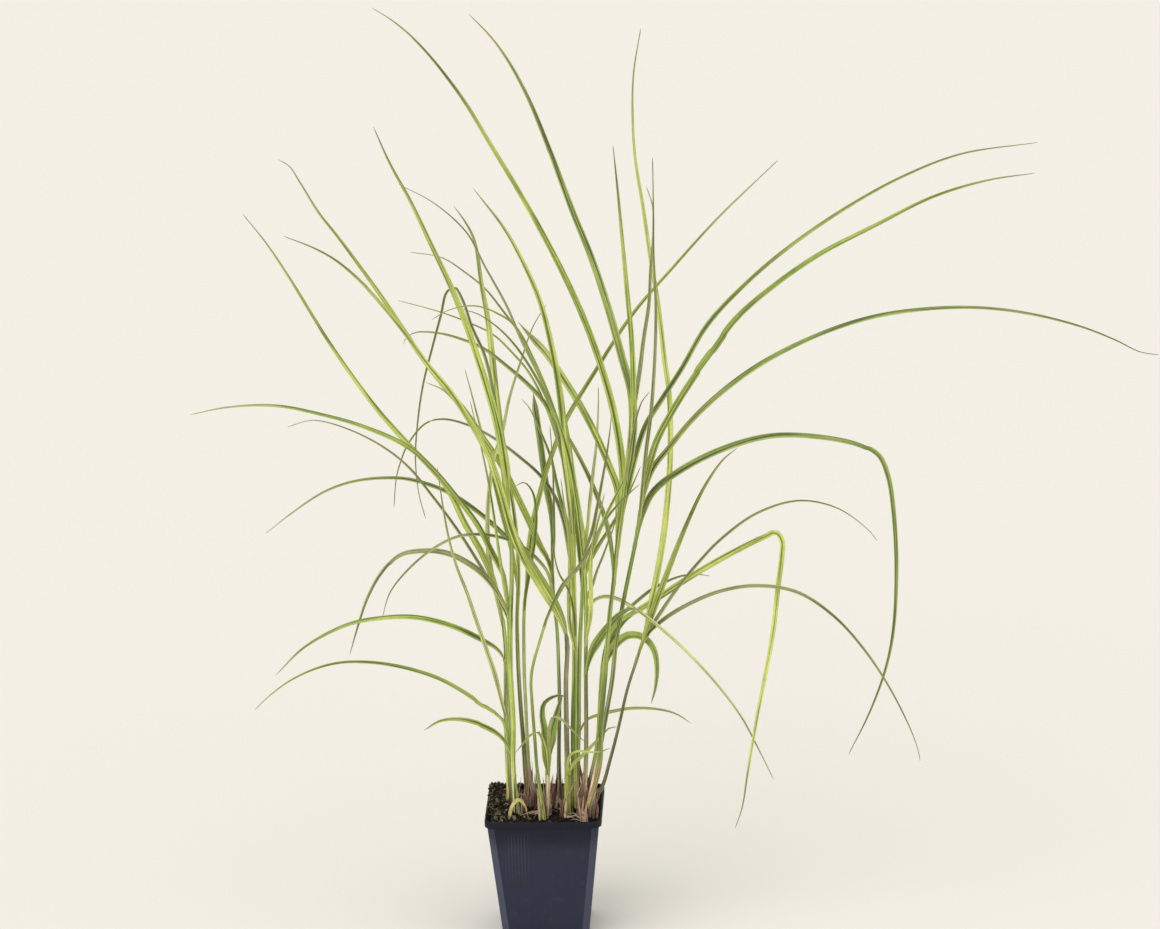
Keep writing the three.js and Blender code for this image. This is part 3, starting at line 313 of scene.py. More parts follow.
            {"leaves": 300, "wide": 3, "lean": 150, "turn": 50, "tint": "dusky", "seen": [
                (30, 335), (25, 370), (17, 405), (8, 433), (-1, 457), (-11.5, 478), (-22.5, 494),
                (-35.5, 511.5), (-51.5, 525.5), (-68, 536.5), (-91.5, 541)]},
            {"leaves": 270, "wide": 2.8, "lean": 90, "turn": 40, "tint": "green", "seen": [
                (31, 300), (27, 340), (18, 385), (7, 422), (-5, 447), (-16, 461), (-30, 475.5),
                (-47.5, 485), (-70, 494), (-102, 503.5)]},
            {"leaves": 156, "wide": 3.6, "lean": -20, "turn": 40, "tint": "green", "seen": [
                (34, 168), (42, 171.5), (51, 174), (69.5, 177), (91, 175.5), (103.5, 171.5),
                (114, 164)]},
            {"leaves": 276, "wide": 3.4, "lean": 60, "turn": 45, "tint": "green", "seen": [
                (38, 294), (46, 309), (55, 323), (63, 337), (70, 351), (79, 371)]},
        ],
    },
    {
        "name": "stem_right_front", "foot": (29, -9), "thick": 1.9, "lean": -10,
        "rises": [(32, 125), (33, 150), (33.5, 180), (34, 213), (35, 249), (35, 275), (34.5, 300),
            (38, 327)],
        "blades": [
            {"leaves": 325, "wide": 2.6, "lean": 150, "turn": 60, "tint": "pale", "seen": [
                (40, 345), (42.5, 365), (45.5, 388), (47.5, 416), (48, 434)]},
            {"leaves": 298, "wide": 2.6, "lean": -150, "turn": 60, "tint": "dusky", "seen": [
                (41, 320), (45, 338), (49, 358), (53, 379), (56, 399), (57.5, 412)]},
            {"leaves": 280, "wide": 3.6, "lean": -70, "turn": 45, "tint": "green", "seen": [
                (33.5, 310), (30, 345), (23, 385), (13, 420), (5, 443), (-3, 462), (-9, 475),
                (-17, 486), (-29, 493.5), (-44.5, 498.5), (-63.5, 495.5), (-77, 488)]},
            {"leaves": 250, "wide": 3.2, "lean": 60, "turn": 50, "tint": "pale", "seen": [
                (38.5, 261), (44, 266), (51, 267.5), (58, 266), (66, 262), (80.5, 251), (99, 234.5),
                (121.5, 211), (139.5, 188.5), (153.5, 167.5), (165.5, 143), (177, 118)]},
            {"leaves": 205, "wide": 8.2, "lean": -26, "turn": 75, "tint": "lush", "seen": [
                (38, 221), (43, 231), (50, 241), (56, 248.5), (62, 254), (68.5, 257),
                (75.5, 256.5)]},
            {"leaves": 286, "wide": 2.8, "lean": 90, "turn": 60, "tint": "bright", "seen": [
                (36.5, 306), (34, 320), (32, 335), (30, 350), (28, 366), (26.3, 382), (24, 400),
                (20.5, 420), (15, 442)]},
            {"leaves": 284, "wide": 4, "lean": 10, "turn": 50, "tint": "fresh", "seen": [
                (40, 303), (45, 317), (51, 331), (58, 345), (66, 360), (75, 378)]},
            {"leaves": 262, "wide": 2.2, "lean": 50, "turn": 50, "tint": "dusky", "seen": [
                (40.5, 277), (44, 288), (48.5, 299), (53, 311), (57.5, 323), (60.5, 335)]},
            {"leaves": 232, "wide": 3.4, "lean": -90, "turn": 60, "tint": "bright", "seen": [
                (38, 250), (39, 268), (39, 285), (40, 300), (43, 318), (47.5, 335), (51, 350)]},
        ],
    },
    {
        "name": "stem_right_main", "foot": (32, 13), "thick": 2.1, "lean": 16,
        "rises": [(41, 143), (44.5, 174), (48, 205), (53, 253), (56, 273), (60, 304),
            (64.5, 333)],
        "blades": [
            {"leaves": 331, "wide": 4.4, "lean": 70, "turn": 50, "tint": "deep", "seen": [
                (69.5, 357), (75.5, 381.5), (83, 403.5), (95, 423), (110.5, 447), (131, 482),
                (157.5, 511), (189.5, 539), (238.5, 573), (280.5, 596), (322.5, 612),
                (379.5, 620)]},
            {"leaves": 310, "wide": 5.4, "lean": -60, "turn": 65, "tint": "fresh", "seen": [
                (65, 345), (65.5, 366), (62.5, 396), (55.5, 432), (43, 474.5), (29.5, 509.5),
                (10, 551.5), (-10, 590), (-27.5, 621), (-51, 662), (-79.5, 700), (-100, 719),
                (-115, 729)]},
            {"leaves": 278, "wide": 4, "lean": 20, "turn": 50, "tint": "deep", "seen": [
                (56, 303), (52.5, 325), (47, 343.5), (39.5, 363.5), (28.5, 387), (15.5, 410),
                (7, 430), (-3.5, 450.5), (-14, 467), (-27, 481.5), (-42.5, 492.5), (-54, 496)]},
            {"leaves": 294, "wide": 4.8, "lean": 90, "turn": 65, "tint": "fresh", "blunt": True,
             "seen": [
                (61.5, 325), (61, 353), (55, 372), (46.5, 394), (36, 416), (20, 444), (9, 461),
                (-5, 477.5), (-12, 486)]},
        ],
    },
    {
        "name": "stem_right_tall", "foot": (34, -14), "thick": 2.1, "lean": -14,
        "rises": [(39, 121), (45, 152), (51, 183), (54, 200), (57.5, 230), (62.5, 257), (68, 283),
            (75.5, 319), (78.5, 339)],
        "blades": [
            {"leaves": 337, "wide": 5.6, "lean": -50, "turn": 55, "tint": "green", "seen": [
                (81.5, 357), (91, 391), (103, 414), (118, 438), (133, 459), (153, 486), (180, 510),
                (215.5, 535), (259.5, 558), (301.5, 579), (341, 591), (378, 596.5)]},
            {"leaves": 320, "wide": 5.2, "lean": 30, "turn": 38, "tint": "deep", "seen": [
                (80, 348), (87.5, 369), (100.5, 386), (118, 407.5), (143, 431), (175.5, 454),
                (219.5, 475.5), (258.5, 487.5), (301, 493), (338.5, 493), (376, 487.5),
                (413.5, 477), (438.5, 466.5), (457, 457), (471, 454.5)]},
            {"leaves": 307, "wide": 5.2, "lean": 100, "turn": 45, "tint": "deep", "seen": [
                (79.5, 334), (88, 351), (108.5, 367.5), (143, 385), (179, 394.5), (216, 393),
                (246, 386), (260, 377), (266.5, 361), (270, 338.5), (272.5, 290), (270, 239),
                (264, 207.5), (251.5, 172), (235, 137.5)]},
            {"leaves": 330, "wide": 2.8, "lean": -110, "turn": 60, "tint": "dusky", "seen": [
                (80.5, 358), (83.5, 385), (87.5, 413.5), (91.5, 463.5), (92.5, 497), (91.5, 540),
                (92, 576), (92, 612)]},
        ],
    },
    {
        "name": "stem_leaning", "foot": (34.5, 4), "thick": 1.5, "lean": 4,
        "rises": [(44, 111.5), (51.5, 136), (58.5, 162.5), (65.5, 192), (72.5, 214), (79.5, 236)],
        "blades": [
            {"leaves": 234, "wide": 4.2, "lean": 100, "turn": 70, "tint": "bright", "seen": [
                (84, 258), (90.5, 287.5), (96, 320), (100.5, 362.5), (102, 395.5), (101.5, 428),
                (98.5, 454.5), (94.5, 496), (88.5, 539.5), (84.5, 572), (79, 612.5), (77.7, 645),
                (79, 676.5), (85, 711)]},
            {"leaves": 225, "wide": 4.8, "lean": -70, "turn": 60, "tint": "green", "seen": [
                (83.5, 248), (94, 276.5), (105.5, 306.5), (116, 331.5), (127.5, 355),
                (141.5, 375.5), (153, 385)]},
            {"leaves": 214, "wide": 3.2, "lean": 50, "turn": 40, "tint": "dusky", "seen": [
                (79, 233), (92.5, 255), (107, 276), (122, 294.5), (139, 312.5), (167, 333),
                (199, 342.5), (228.5, 336), (252.5, 317.5), (258, 310)]},
            {"leaves": 218, "wide": 3.6, "lean": -40, "turn": 45, "tint": "dusky", "seen": [
                (80, 233.5), (92, 246), (113.5, 260), (140.5, 271), (167.5, 274.5), (197, 269),
                (223.5, 250.5), (247.5, 222.5), (271, 183.5), (287.5, 144.5), (290, 132)]},
        ],
    },
    {
        "name": "stem_right_low", "foot": (33, 25), "thick": 1.8, "lean": 10,
        "rises": [(41, 135), (43, 165), (46, 205), (49, 225), (54.5, 242)],
        "blades": [
            {"leaves": 240, "wide": 4.8, "lean": -90, "turn": 60, "tint": "bright", "seen": [
                (62, 248.5), (79.5, 259), (96, 270), (122, 287), (150, 303), (172, 314), (181, 317),
                (185.5, 311), (185, 296), (182, 273.5), (178, 239), (171.5, 202.5), (165, 169.5),
                (157, 123), (152.5, 95), (147, 78)]},
            {"leaves": 234, "wide": 3.6, "lean": 40, "turn": 40, "tint": "dusky", "seen": [
                (60, 250), (73, 262.5), (86, 273), (96, 278.5), (107.5, 283), (119, 284.5),
                (130, 283)]},
            {"leaves": 212, "wide": 6.4, "lean": 20, "turn": 70, "tint": "lush", "seen": [
                (52, 230), (58, 240), (65, 248.5), (75.5, 255.5)]},
            {"leaves": 198, "wide": 6.6, "lean": -40, "turn": 75, "tint": "green", "seen": [
                (51, 220), (58, 230), (66, 235.5), (75, 235.5), (82, 231), (87, 222), (88.5, 208),
                (87, 193), (83.5, 180)]},
        ],
    },
    {
        "name": "stem_right_edge", "foot": (32, -27), "thick": 1.9, "lean": -18,
        "rises": [(43, 130), (45, 165), (49, 205), (52, 240), (56, 275), (60, 310), (65, 345),
            (69.5, 374)],
        "blades": [
            {"leaves": 372, "wide": 4.2, "lean": -110, "turn": 70, "tint": "fresh", "seen": [
                (72, 395), (74, 419), (74.5, 445), (73.5, 476.5), (71, 510), (68, 551.5),
                (65.5, 586.5), (62.5, 622)]},
            {"leaves": 358, "wide": 3.6, "lean": 120, "turn": 60, "tint": "dusky", "seen": [
                (71.5, 388), (74.5, 417), (79.5, 446.5), (83, 472), (87.5, 500), (89, 525),
                (91.5, 552), (91.5, 574), (87, 590)]},
            {"leaves": 345, "wide": 6, "lean": 80, "turn": 65, "tint": "deep", "seen": [
                (71, 378), (74, 405), (73, 430), (66.7, 456), (57, 494.7), (45, 534.6), (30.5, 574),
                (14, 622), (0, 659), (-14, 687), (-27, 706), (-43, 723.5)]},
            {"leaves": 364, "wide": 2.4, "lean": -40, "turn": 60, "tint": "dusky", "seen": [
                (72.5, 393), (77, 412), (81, 422.5), (87, 430)]},
        ],
    },
]


# Strands: where every stem and blade runs.


def place(x, z, y):
    """The real point that the eye sees at x and z of the middle plane, but y behind it."""
    ray = np.array([x, 0, z]) - EYE
    return EYE + ray * ((y - EYE[1]) / -EYE[1])


def seen_from(x, y, z):
    """Where the eye sees a real point in the middle plane."""
    ray = np.array([x, y, z]) - EYE
    met = EYE + ray * (-EYE[1] / ray[1])
    return met[0], met[2]


def smoothstep(value, low, high):
    """0 below low and 1 above high, with an eased rise in between."""
    share = np.clip((value - low) / (high - low), 0, 1)
    return share * share * (3 - 2 * share)


def curve_point(knots, t):
    """A point on the centripetal curve through the knots, at t from 0 to 1."""
    last = len(knots) - 1
    whole = min(int(last * t), last - 1)
    part = last * t - whole
    p1, p2 = knots[whole], knots[whole + 1]
    p0 = knots[whole - 1] if whole > 0 else 2 * knots[0] - knots[1]
    p3 = knots[whole + 2] if whole + 2 <= last else 2 * knots[last] - knots[last - 1]
    d0, d1, d2 = (math.sqrt(np.linalg.norm(b - a)) for a, b in ((p0, p1), (p1, p2), (p2, p3)))
    out = ((p1 - p0) / d0 - (p2 - p0) / (d0 + d1) + (p2 - p1) / d1) * d1
    into = ((p2 - p1) / d1 - (p3 - p1) / (d1 + d2) + (p3 - p2) / d2) * d1
    second = -3 * p1 + 3 * p2 - 2 * out - into
    third = 2 * p1 - 2 * p2 + out + into
    return p1 + out * part + second * part**2 + third * part**3


class Strand:
    """A stem or a blade as close samples: seen x and z, depth y, distance along and half width."""

    def __init__(self, points, width_at):
        knots = [np.array([x, y, z], float) for x, z, y in points]
        steps = np.linspace(0, 1, 201)
        line = np.array([curve_point(knots, t) for t in steps])
        lengths = np.concatenate([[0], np.cumsum(np.linalg.norm(np.diff(line, axis=0), axis=1))])
        self.reach = lengths[-1]
        count = max(6, math.ceil(self.reach / SAMPLE_STEP))
        wanted = np.interp(np.linspace(0, self.reach, count + 1), lengths, steps)
        samples = np.array([curve_point(knots, t) for t in wanted])
        self.along = np.linspace(0, self.reach, count + 1)
        self.x, self.y, self.z = samples.T
        self.start = self.y.copy()
        self.half = np.array([width_at(s / self.reach, s) / 2 for s in self.along])

    def index_at_height(self, height):
        """The sample nearest to a seen height."""
        return int(np.argmin(np.abs(self.z - height)))

    def freedom(self):
        """How freely each sample moves in depth: not at the root, and fully a little way out."""
        return smoothstep(self.along, self.fixed, self.fixed + FREE_AFTER * 2)

    def middle_line(self):
        """The real points along the strand's middle."""
        return np.array([place(x, z, y) for x, z, y in zip(self.x, self.z, self.y)])


def stem_width(stem, share, rise):
    """A stem's width: tapered upwards, and swollen by its sheaths just above the soil."""
    taper = 1 + (STEM_TOP_SHARE - 1) * share
    wrapped = max(0, 1 - max(0, rise) / SHEATH_RISE)
    return 2 * stem["thick"] * taper * (1 + (SHEATH_SWELL - 1) * wrapped)


def blade_width(blade, share, rise):
    """A blade's width: narrow at its root, full a little way out, and drawn out to its tip."""
    opened = float(smoothstep(rise, ROOT_SUNK, ROOT_SUNK + blade.get("opens", OPENS_OVER)))
    tip = min(1, (1 - share) * BLUNTNESS) if blade.get("blunt") else max(0, 1 - share) ** TIP_POWER
    full = blade["wide"] * WITH_MARGINS
    body = ROOT_WIDTH + (full - ROOT_WIDTH) * opened
    return max(TIP_WIDTH, min(body, full * tip * TIP_REACH))


def lay_stem(stem):
    """A stem from its foot, upright in the soil and just above it, through the points it rises."""
    foot_x, foot_y = stem["foot"]
    under = []
    for height in (STEM_FOOT, STEM_MIDDLE, SOIL_TOP, SOIL_TOP + UPRIGHT):
        x, z = seen_from(foot_x, foot_y, height)
        under.append((x, z, foot_y))
    step = stem["lean"] / len(stem["rises"])
    over = [(x, z, foot_y + step * (i + 1)) for i, (x, z) in enumerate(stem["rises"])]
    buried = SOIL_TOP - STEM_FOOT
    strand = Strand(under + over, lambda share, s: stem_width(stem, share, s - buried))
    strand.stem, strand.blade = stem, None
    strand.fixed = buried + UPRIGHT
    return strand


def lay_blade(trunk, blade):
    """A blade from inside its stem, out where it leaves it and along the points seen."""
    out = trunk.index_at_height(blade["leaves"])
    sunk = trunk.index_at_height(blade["leaves"] - ROOT_SUNK)
    path = [(trunk.x[sunk], trunk.z[sunk]), (trunk.x[out], trunk.z[out]), *blade["seen"]]
    steps = [math.dist(a, b) for a, b in zip(path, path[1:])]
    lengths = np.concatenate([[0], np.cumsum(steps)])
    depths = trunk.y[out] + blade["lean"] * (lengths / lengths[-1]) ** LEAN_POWER
    points = [(x, z, y) for (x, z), y in zip(path, depths)]
    strand = Strand(points, lambda share, s: blade_width(blade, share, s))
    strand.stem, strand.blade, strand.trunk = trunk.stem, blade, trunk
    strand.root_index = sunk
    strand.fixed = ROOT_SUNK
    return strand


def belong_together(a, i, b, j):
    """True where a blade leaves its own stem, or two blades of one stem start."""
    if a.stem is not b.stem:
        return False
    if a.blade is None:
        return b.along[j] < TOGETHER_TO
    if b.blade is None:
        return a.along[i] < TOGETHER_TO
    return a.along[i] < TOGETHER_TO or b.along[j] < TOGETHER_TO


def close_pairs(strands):
    """Every pair of samples that are close before the eye, with the depth that they need."""
    cells = {}
    for n, strand in enumerate(strands):
        for i, (x, z) in enumerate(zip(strand.x, strand.z)):
            cells.setdefault((math.floor(x / CELL), math.floor(z / CELL)), []).append((n, i))
    pairs = []
    for (cx, cz), members in cells.items():
        near = []
        for dx in (-1, 0, 1):
            for dz in (-1, 0, 1):
                near += cells.get((cx + dx, cz + dz), [])
        for n, i in members:
            for m, j in near:
                if m <= n:
                    continue
                a, b = strands[n], strands[m]
                if belong_together(a, i, b, j):
                    continue
                across = math.hypot(a.x[i] - b.x[j], a.z[i] - b.z[j])
                room = a.half[i] + b.half[j] + AIR
                if across < room:
                    pairs.append((n, i, m, j, math.sqrt(room * room - across * across)))
    return pairs


def smooth_shifts(strand, free):
    """Pulls each sample's shift half way to the mean of its neighbours' shifts."""
    shift = strand.y - strand.start
    mean = (shift[:-2] + shift[2:]) / 2
    strand.y[1:-1] = strand.start[1:-1] + shift[1:-1] + (mean - shift[1:-1]) * 0.5 * free[1:-1]
    strand.y[-1] = strand.start[-1] + (shift[-1] + shift[-2]) / 2


def spread_in_depth(strands):
    """Bends strands that would touch apart, along the line of sight."""
    free = [strand.freedom() for strand in strands]
    starts = np.concatenate([[0], np.cumsum([len(strand.y) for strand in strands])])
    pushes = []
    for n, i, m, j, depth in close_pairs(strands):
        both = free[n][i] + free[m][j]
        if both > 0:
            first, second = int(starts[n]) + i, int(starts[m]) + j
            moves = (PUSH * free[n][i] / both, PUSH * free[m][j] / both)
            pushes.append((first, second, depth, *moves))
    fades = [np.exp(-strand.along / ROOT_FADE) for strand in strands]
    for _ in range(SPREAD_ROUNDS):
        depths = np.concatenate([strand.y for strand in strands]).tolist()
        for first, second, depth, move_first, move_second in pushes:
            gap = depths[second] - depths[first]
            lack = depth - abs(gap)
            if lack <= 0:
                continue
            if gap < 0:
                lack = -lack
            depths[first] -= lack * move_first
            depths[second] += lack * move_second
        flat = np.array(depths)
        for n, strand in enumerate(strands):
            strand.y = flat[starts[n]:starts[n + 1]].copy()
            smooth_shifts(strand, free[n])
        for n, strand in enumerate(strands):
            if strand.blade is not None:
                strand.y += (strand.trunk.y[strand.root_index] - strand.y[0]) * fades[n]


def lay_all_strands():
    """Every stem and every blade, bent apart in depth."""
    trunks = [lay_stem(stem) for stem in STEMS]
    leaves = [lay_blade(trunk, blade) for trunk in trunks for blade in trunk.stem["blades"]]
    spread_in_depth(trunks + leaves)
    return trunks, leaves


# Helpers for meshes and for the nodes of a material.


def unit(vector):
    """The vector's direction, with length 1."""
    return vector / max(np.linalg.norm(vector), 1e-12)


def new_piece(name, vertices, faces, material):
    """A mesh object from points in millimetres, riding on the part's one body."""
    mesh = bpy.data.meshes.new(name)
    mesh.from_pydata([tuple(float(c) * MM for c in v) for v in vertices], [], faces)
    mesh.validate()
    mesh.polygons.foreach_set("use_smooth", [True] * len(mesh.polygons))
    mesh.update()
    piece = bpy.data.objects.new(name, mesh)
    bpy.context.scene.collection.objects.link(piece)
    mesh.materials.append(material)
    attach(piece, "root")
    return piece


def point_values(piece, name, values):
    """Stores one number at each point of a piece, for its finish to read."""
    layer = piece.data.attributes.new(name, "FLOAT", "POINT")
    layer.data.foreach_set("value", np.asarray(values, np.float32))


def point_vectors(piece, name, vectors):
    """Stores one direction or place at each point of a piece."""
    layer = piece.data.attributes.new(name, "FLOAT_VECTOR", "POINT")
    layer.data.foreach_set("vector", np.asarray(vectors, np.float32).ravel())


def point_colours(piece, name, colours):
    """Stores one colour at each point of a piece."""
    layer = piece.data.attributes.new(name, "FLOAT_COLOR", "POINT")
    layer.data.foreach_set("color", np.asarray(colours, np.float32).ravel())


# Where a colour mix keeps its factor, its two colours and its result.
MIX_INPUTS = (0, 6, 7)
MIX_RESULT = 2


class Nodes:
    """A small helper to lay out one material's nodes."""

    def __init__(self, name):
        self.material = bpy.data.materials.new(name)
        self.material.use_nodes = True
        self.tree = self.material.node_tree
        self.shader = self.tree.nodes["Principled BSDF"]

    def add(self, kind, **settings):
        node = self.tree.nodes.new(kind)
        for key, value in settings.items():
            setattr(node, key, value)
        return node

    def link(self, out, into):
        """Joins one node's output to another's input."""
        self.tree.links.new(out, into)

    def attribute(self, name):
        """Reads a value that the mesh stores at its points."""
        return self.add("ShaderNodeAttribute", attribute_name=name)

    def math(self, operation, a, b=0.0, clamp=False):
        node = self.add("ShaderNodeMath", operation=operation, use_clamp=clamp)
        for socket, value in zip(node.inputs, (a, b)):
            if isinstance(value, (int, float)):
                socket.default_value = value
            else:
                self.link(value, socket)
        return node.outputs[0]

    def parts(self, vector):
        """The x, y and z of a vector."""
        node = self.add("ShaderNodeSeparateXYZ")
        self.link(vector, node.inputs[0])
        return node.outputs

    def between(self, value, low, high):
        """0 below low and 1 above high, evenly in between."""
        node = self.add("ShaderNodeMapRange", clamp=True)
        self.link(value, node.inputs["Value"])
        node.inputs["From Min"].default_value = low
        node.inputs["From Max"].default_value = high
        return node.outputs["Result"]

    def noise(self, scale, detail=3, roughness=0.55, vector=None):
        if vector is None:
            vector = self.add("ShaderNodeTexCoord").outputs["Object"]
        node = self.add("ShaderNodeTexNoise")
        node.inputs["Scale"].default_value = scale
        node.inputs["Detail"].default_value = detail
        node.inputs["Roughness"].default_value = roughness
        self.link(vector, node.inputs["Vector"])
        return node.outputs["Fac"]

    def ramp(self, fac, stops):
        node = self.add("ShaderNodeValToRGB")
        elements = node.color_ramp.elements
        while len(elements) < len(stops):
            elements.new(0.5)
        for element, (position, colour) in zip(elements, stops):
            element.position = position
            element.color = (*colour, 1)
        self.link(fac, node.inputs["Fac"])
        return node.outputs["Color"]

    def mix(self, fac, a, b, blend="MIX"):
        node = self.add("ShaderNodeMix", data_type="RGBA", blend_type=blend)
        for socket, value in zip((node.inputs[i] for i in MIX_INPUTS), (fac, a, b)):
            if isinstance(value, (int, float)):
                socket.default_value = value
            elif isinstance(value, tuple):
                socket.default_value = (*value, 1)
            else:
                self.link(value, socket)
        return node.outputs[MIX_RESULT]

    def bump(self, height, strength, distance):
        node = self.add("ShaderNodeBump")
        node.inputs["Strength"].default_value = strength
        node.inputs["Distance"].default_value = distance
        self.link(height, node.inputs["Height"])
        return node.outputs["Normal"]


# Finishes. Ramps are lists of a place and a colour, which shades the piece's own colour there.
VEINS_ACROSS, RIB_SHARPNESS, EDGE_SHARPNESS = 34.0, 7.0, 3.0
LIGHT_FROM, DARK_FROM = (0.48, 0.60), (0.485, 0.41)
LIGHT_STREAK = (2.15, 1.95, 2.7)
DARK_VEIN = (0.20, 0.26, 0.24)
BLOTCHES = [(0.3, (0.80, 0.84, 0.80)), (0.7, (1.14, 1.12, 1.08))]
FINE_GRAIN = [(0.3, (0.9, 0.92, 0.88)), (0.7, (1.06, 1.05, 1.05))]


def grass_finish(settings):
    """Green blades and stems: the tint is the mesh's own, with a pale midrib and fine veins."""
    n = Nodes("grass_leaf")
    tint = n.attribute("tint").outputs["Color"]
    across = n.attribute("across").outputs["Fac"]
    vein_wave = n.math("SINE", n.math("MULTIPLY", across, VEINS_ACROSS))
    aside = n.math("ABSOLUTE", across)
    rib = n.math("SUBTRACT", 1.0, n.math("MULTIPLY", aside, RIB_SHARPNESS), clamp=True)
    edge = n.math("POWER", aside, EDGE_SHARPNESS)
    blotch = n.noise(55.0, 4)
    fine = n.noise(420.0, 3)
    streaks = n.noise(1.0, 3, 0.5, n.attribute("grain").outputs["Vector"])
    light = n.math("MULTIPLY", n.between(streaks, *LIGHT_FROM), settings.streak_share)
    dark = n.math("MULTIPLY", n.between(streaks, *DARK_FROM), settings.vein_share)
    edge = n.math("MULTIPLY", edge, settings.edge_share)
    rib = n.math("MULTIPLY", rib, settings.rib_share)
    lighter = n.mix(1.0, tint, LIGHT_STREAK, "MULTIPLY")
    colour = n.mix(light, tint, n.mix(0.25, lighter, tuple(settings.streak_colour)))
    colour = n.mix(dark, colour, n.mix(1.0, tint, DARK_VEIN, "MULTIPLY"))
    colour = n.mix(edge, colour, tuple(settings.edge_colour))
    colour = n.mix(rib, colour, tuple(settings.rib_colour))
    colour = n.mix(1.0, colour, n.ramp(blotch, BLOTCHES), "MULTIPLY")
    colour = n.mix(1.0, colour, n.ramp(fine, FINE_GRAIN), "MULTIPLY")
    n.link(colour, n.shader.inputs["Base Color"])
    rough = n.math("MULTIPLY_ADD", fine, 0.16)
    rough.node.inputs[2].default_value = settings.roughness - 0.08
    n.link(rough, n.shader.inputs["Roughness"])
    n.shader.inputs["Specular IOR Level"].default_value = 0.35
    veins = n.math("MULTIPLY_ADD", vein_wave, 0.25)
    n.link(fine, veins.node.inputs[2])
    n.link(n.bump(veins, settings.vein_strength, 0.00018), n.shader.inputs["Normal"])
    return n.material


# Where the pot looks different, in metres: each range says where a mark begins and where it is
# full. The fine ribs are high on the left of the front face, and a shade lies under the rim.
RIM_START = 0.3 * MM
RIB_STEP = 0.0025
RIBS_LEFT, RIBS_RIGHT = (-0.033, -0.027), (-0.010, -0.014)
RIBS_BELOW, RIBS_ABOVE = (0.045, 0.066), (0.092, 0.084)
RIBS_FRONT = (-0.026, -0.030)
UNDER_RIM = (0.074, 0.087)
UNDER_RIM_SHADE = 0.62
RIM_SHADE = 0.8
SHADE_COLOUR = (0.002, 0.003, 0.007)
# Painted highlight: the body's flat corners are painted lighter, as where they catch the light; the
# range is how far a surface faces a corner, and the share is how strong the highlight is.
CORNER_TURN = (0.5, 0.62)
CORNER_HIGHLIGHT_SHARE = 0.8
DUST_PATCHES = [(0.56, (0, 0, 0)), (0.74, (1, 1, 1))]
STREAK_STRETCH = (900.0, 900.0, 14.0)


def pot_finish(settings):
    """Matt dark blue-grey moulded plastic with a fine grain, faint streaks, dusty scuffs and
    painted corner highlights.
    """
    n = Nodes("pot_plastic")
    base, dusty = tuple(settings.colour), tuple(settings.dust_colour)
    grain = n.noise(2600.0, 2)
    cloud = n.noise(38.0, 5)
    colour = n.mix(n.math("MULTIPLY", cloud, 0.35), base, tuple(c * 1.55 + 0.006 for c in base))
    coords = n.add("ShaderNodeTexCoord").outputs["Object"]
    stretch = n.add("ShaderNodeMapping")
    stretch.inputs["Scale"].default_value = STREAK_STRETCH
    n.link(coords, stretch.inputs["Vector"])
    streaks = n.noise(1.0, 2, vector=stretch.outputs["Vector"])
    dust = n.ramp(n.noise(95.0, 6, 0.65), DUST_PATCHES)
    colour = n.mix(n.math("MULTIPLY", dust, 0.22), colour, dusty)
    colour = n.mix(n.math("MULTIPLY", streaks, 0.16), colour, dusty)
    x, y, z = n.parts(coords)
    rim_foot = (POT_HEIGHT - RIM_DEPTH) * MM
    rim = n.between(z, rim_foot - RIM_START, rim_foot)
    # Painted highlight: the flat corners of the body, but not the rim, are painted lighter.
    faces = n.parts(n.add("ShaderNodeNewGeometry").outputs["Normal"])
    turned = n.math("MINIMUM", n.math("ABSOLUTE", faces[0]), n.math("ABSOLUTE", faces[1]))
    facet_highlight = n.math("MULTIPLY", n.between(turned, *CORNER_TURN), n.math("SUBTRACT", 1.0, rim))
    colour = n.mix(n.math("MULTIPLY", facet_highlight, CORNER_HIGHLIGHT_SHARE), colour, tuple(settings.facet_highlight_colour))
    shaded = n.math("MULTIPLY", n.between(z, *UNDER_RIM), UNDER_RIM_SHADE)
    shaded = n.math("MAXIMUM", shaded, n.math("MULTIPLY", rim, RIM_SHADE))
    colour = n.mix(shaded, colour, SHADE_COLOUR)
    wave = n.math("SINE", n.math("MULTIPLY", x, 2 * math.pi / RIB_STEP))
    ribs = n.between(wave, 0.3, 0.9)
    limits = ((y, RIBS_FRONT), (x, RIBS_LEFT), (x, RIBS_RIGHT), (z, RIBS_BELOW), (z, RIBS_ABOVE))
    for value, reach in limits:
        ribs = n.math("MULTIPLY", ribs, n.between(value, *reach))
    colour = n.mix(n.math("MULTIPLY", ribs, 0.4), colour, dusty)
    n.link(colour, n.shader.inputs["Base Color"])
    rough = n.math("ADD", n.math("MULTIPLY", cloud, 0.2), settings.roughness - 0.08)
    n.link(rough, n.shader.inputs["Roughness"])
    height = n.math("ADD", n.math("MULTIPLY", grain, 0.5), n.math("MULTIPLY", streaks, 0.5))
    height = n.math("ADD", height, n.math("MULTIPLY", ribs, 1.2))
    n.link(n.bump(height, 0.3, 0.0002), n.shader.inputs["Normal"])
    n.shader.inputs["Specular IOR Level"].default_value = 0.2
    return n.material


SOIL_FLECKS = [(0.3, (0.45, 0.45, 0.45)), (0.62, (1.25, 1.2, 1.15)), (0.8, (2.2, 2.1, 1.9))]
STRAW_BLOTCHES = [(0.3, (0.5, 0.44, 0.42)), (0.7, (1.15, 1.12, 1.1))]


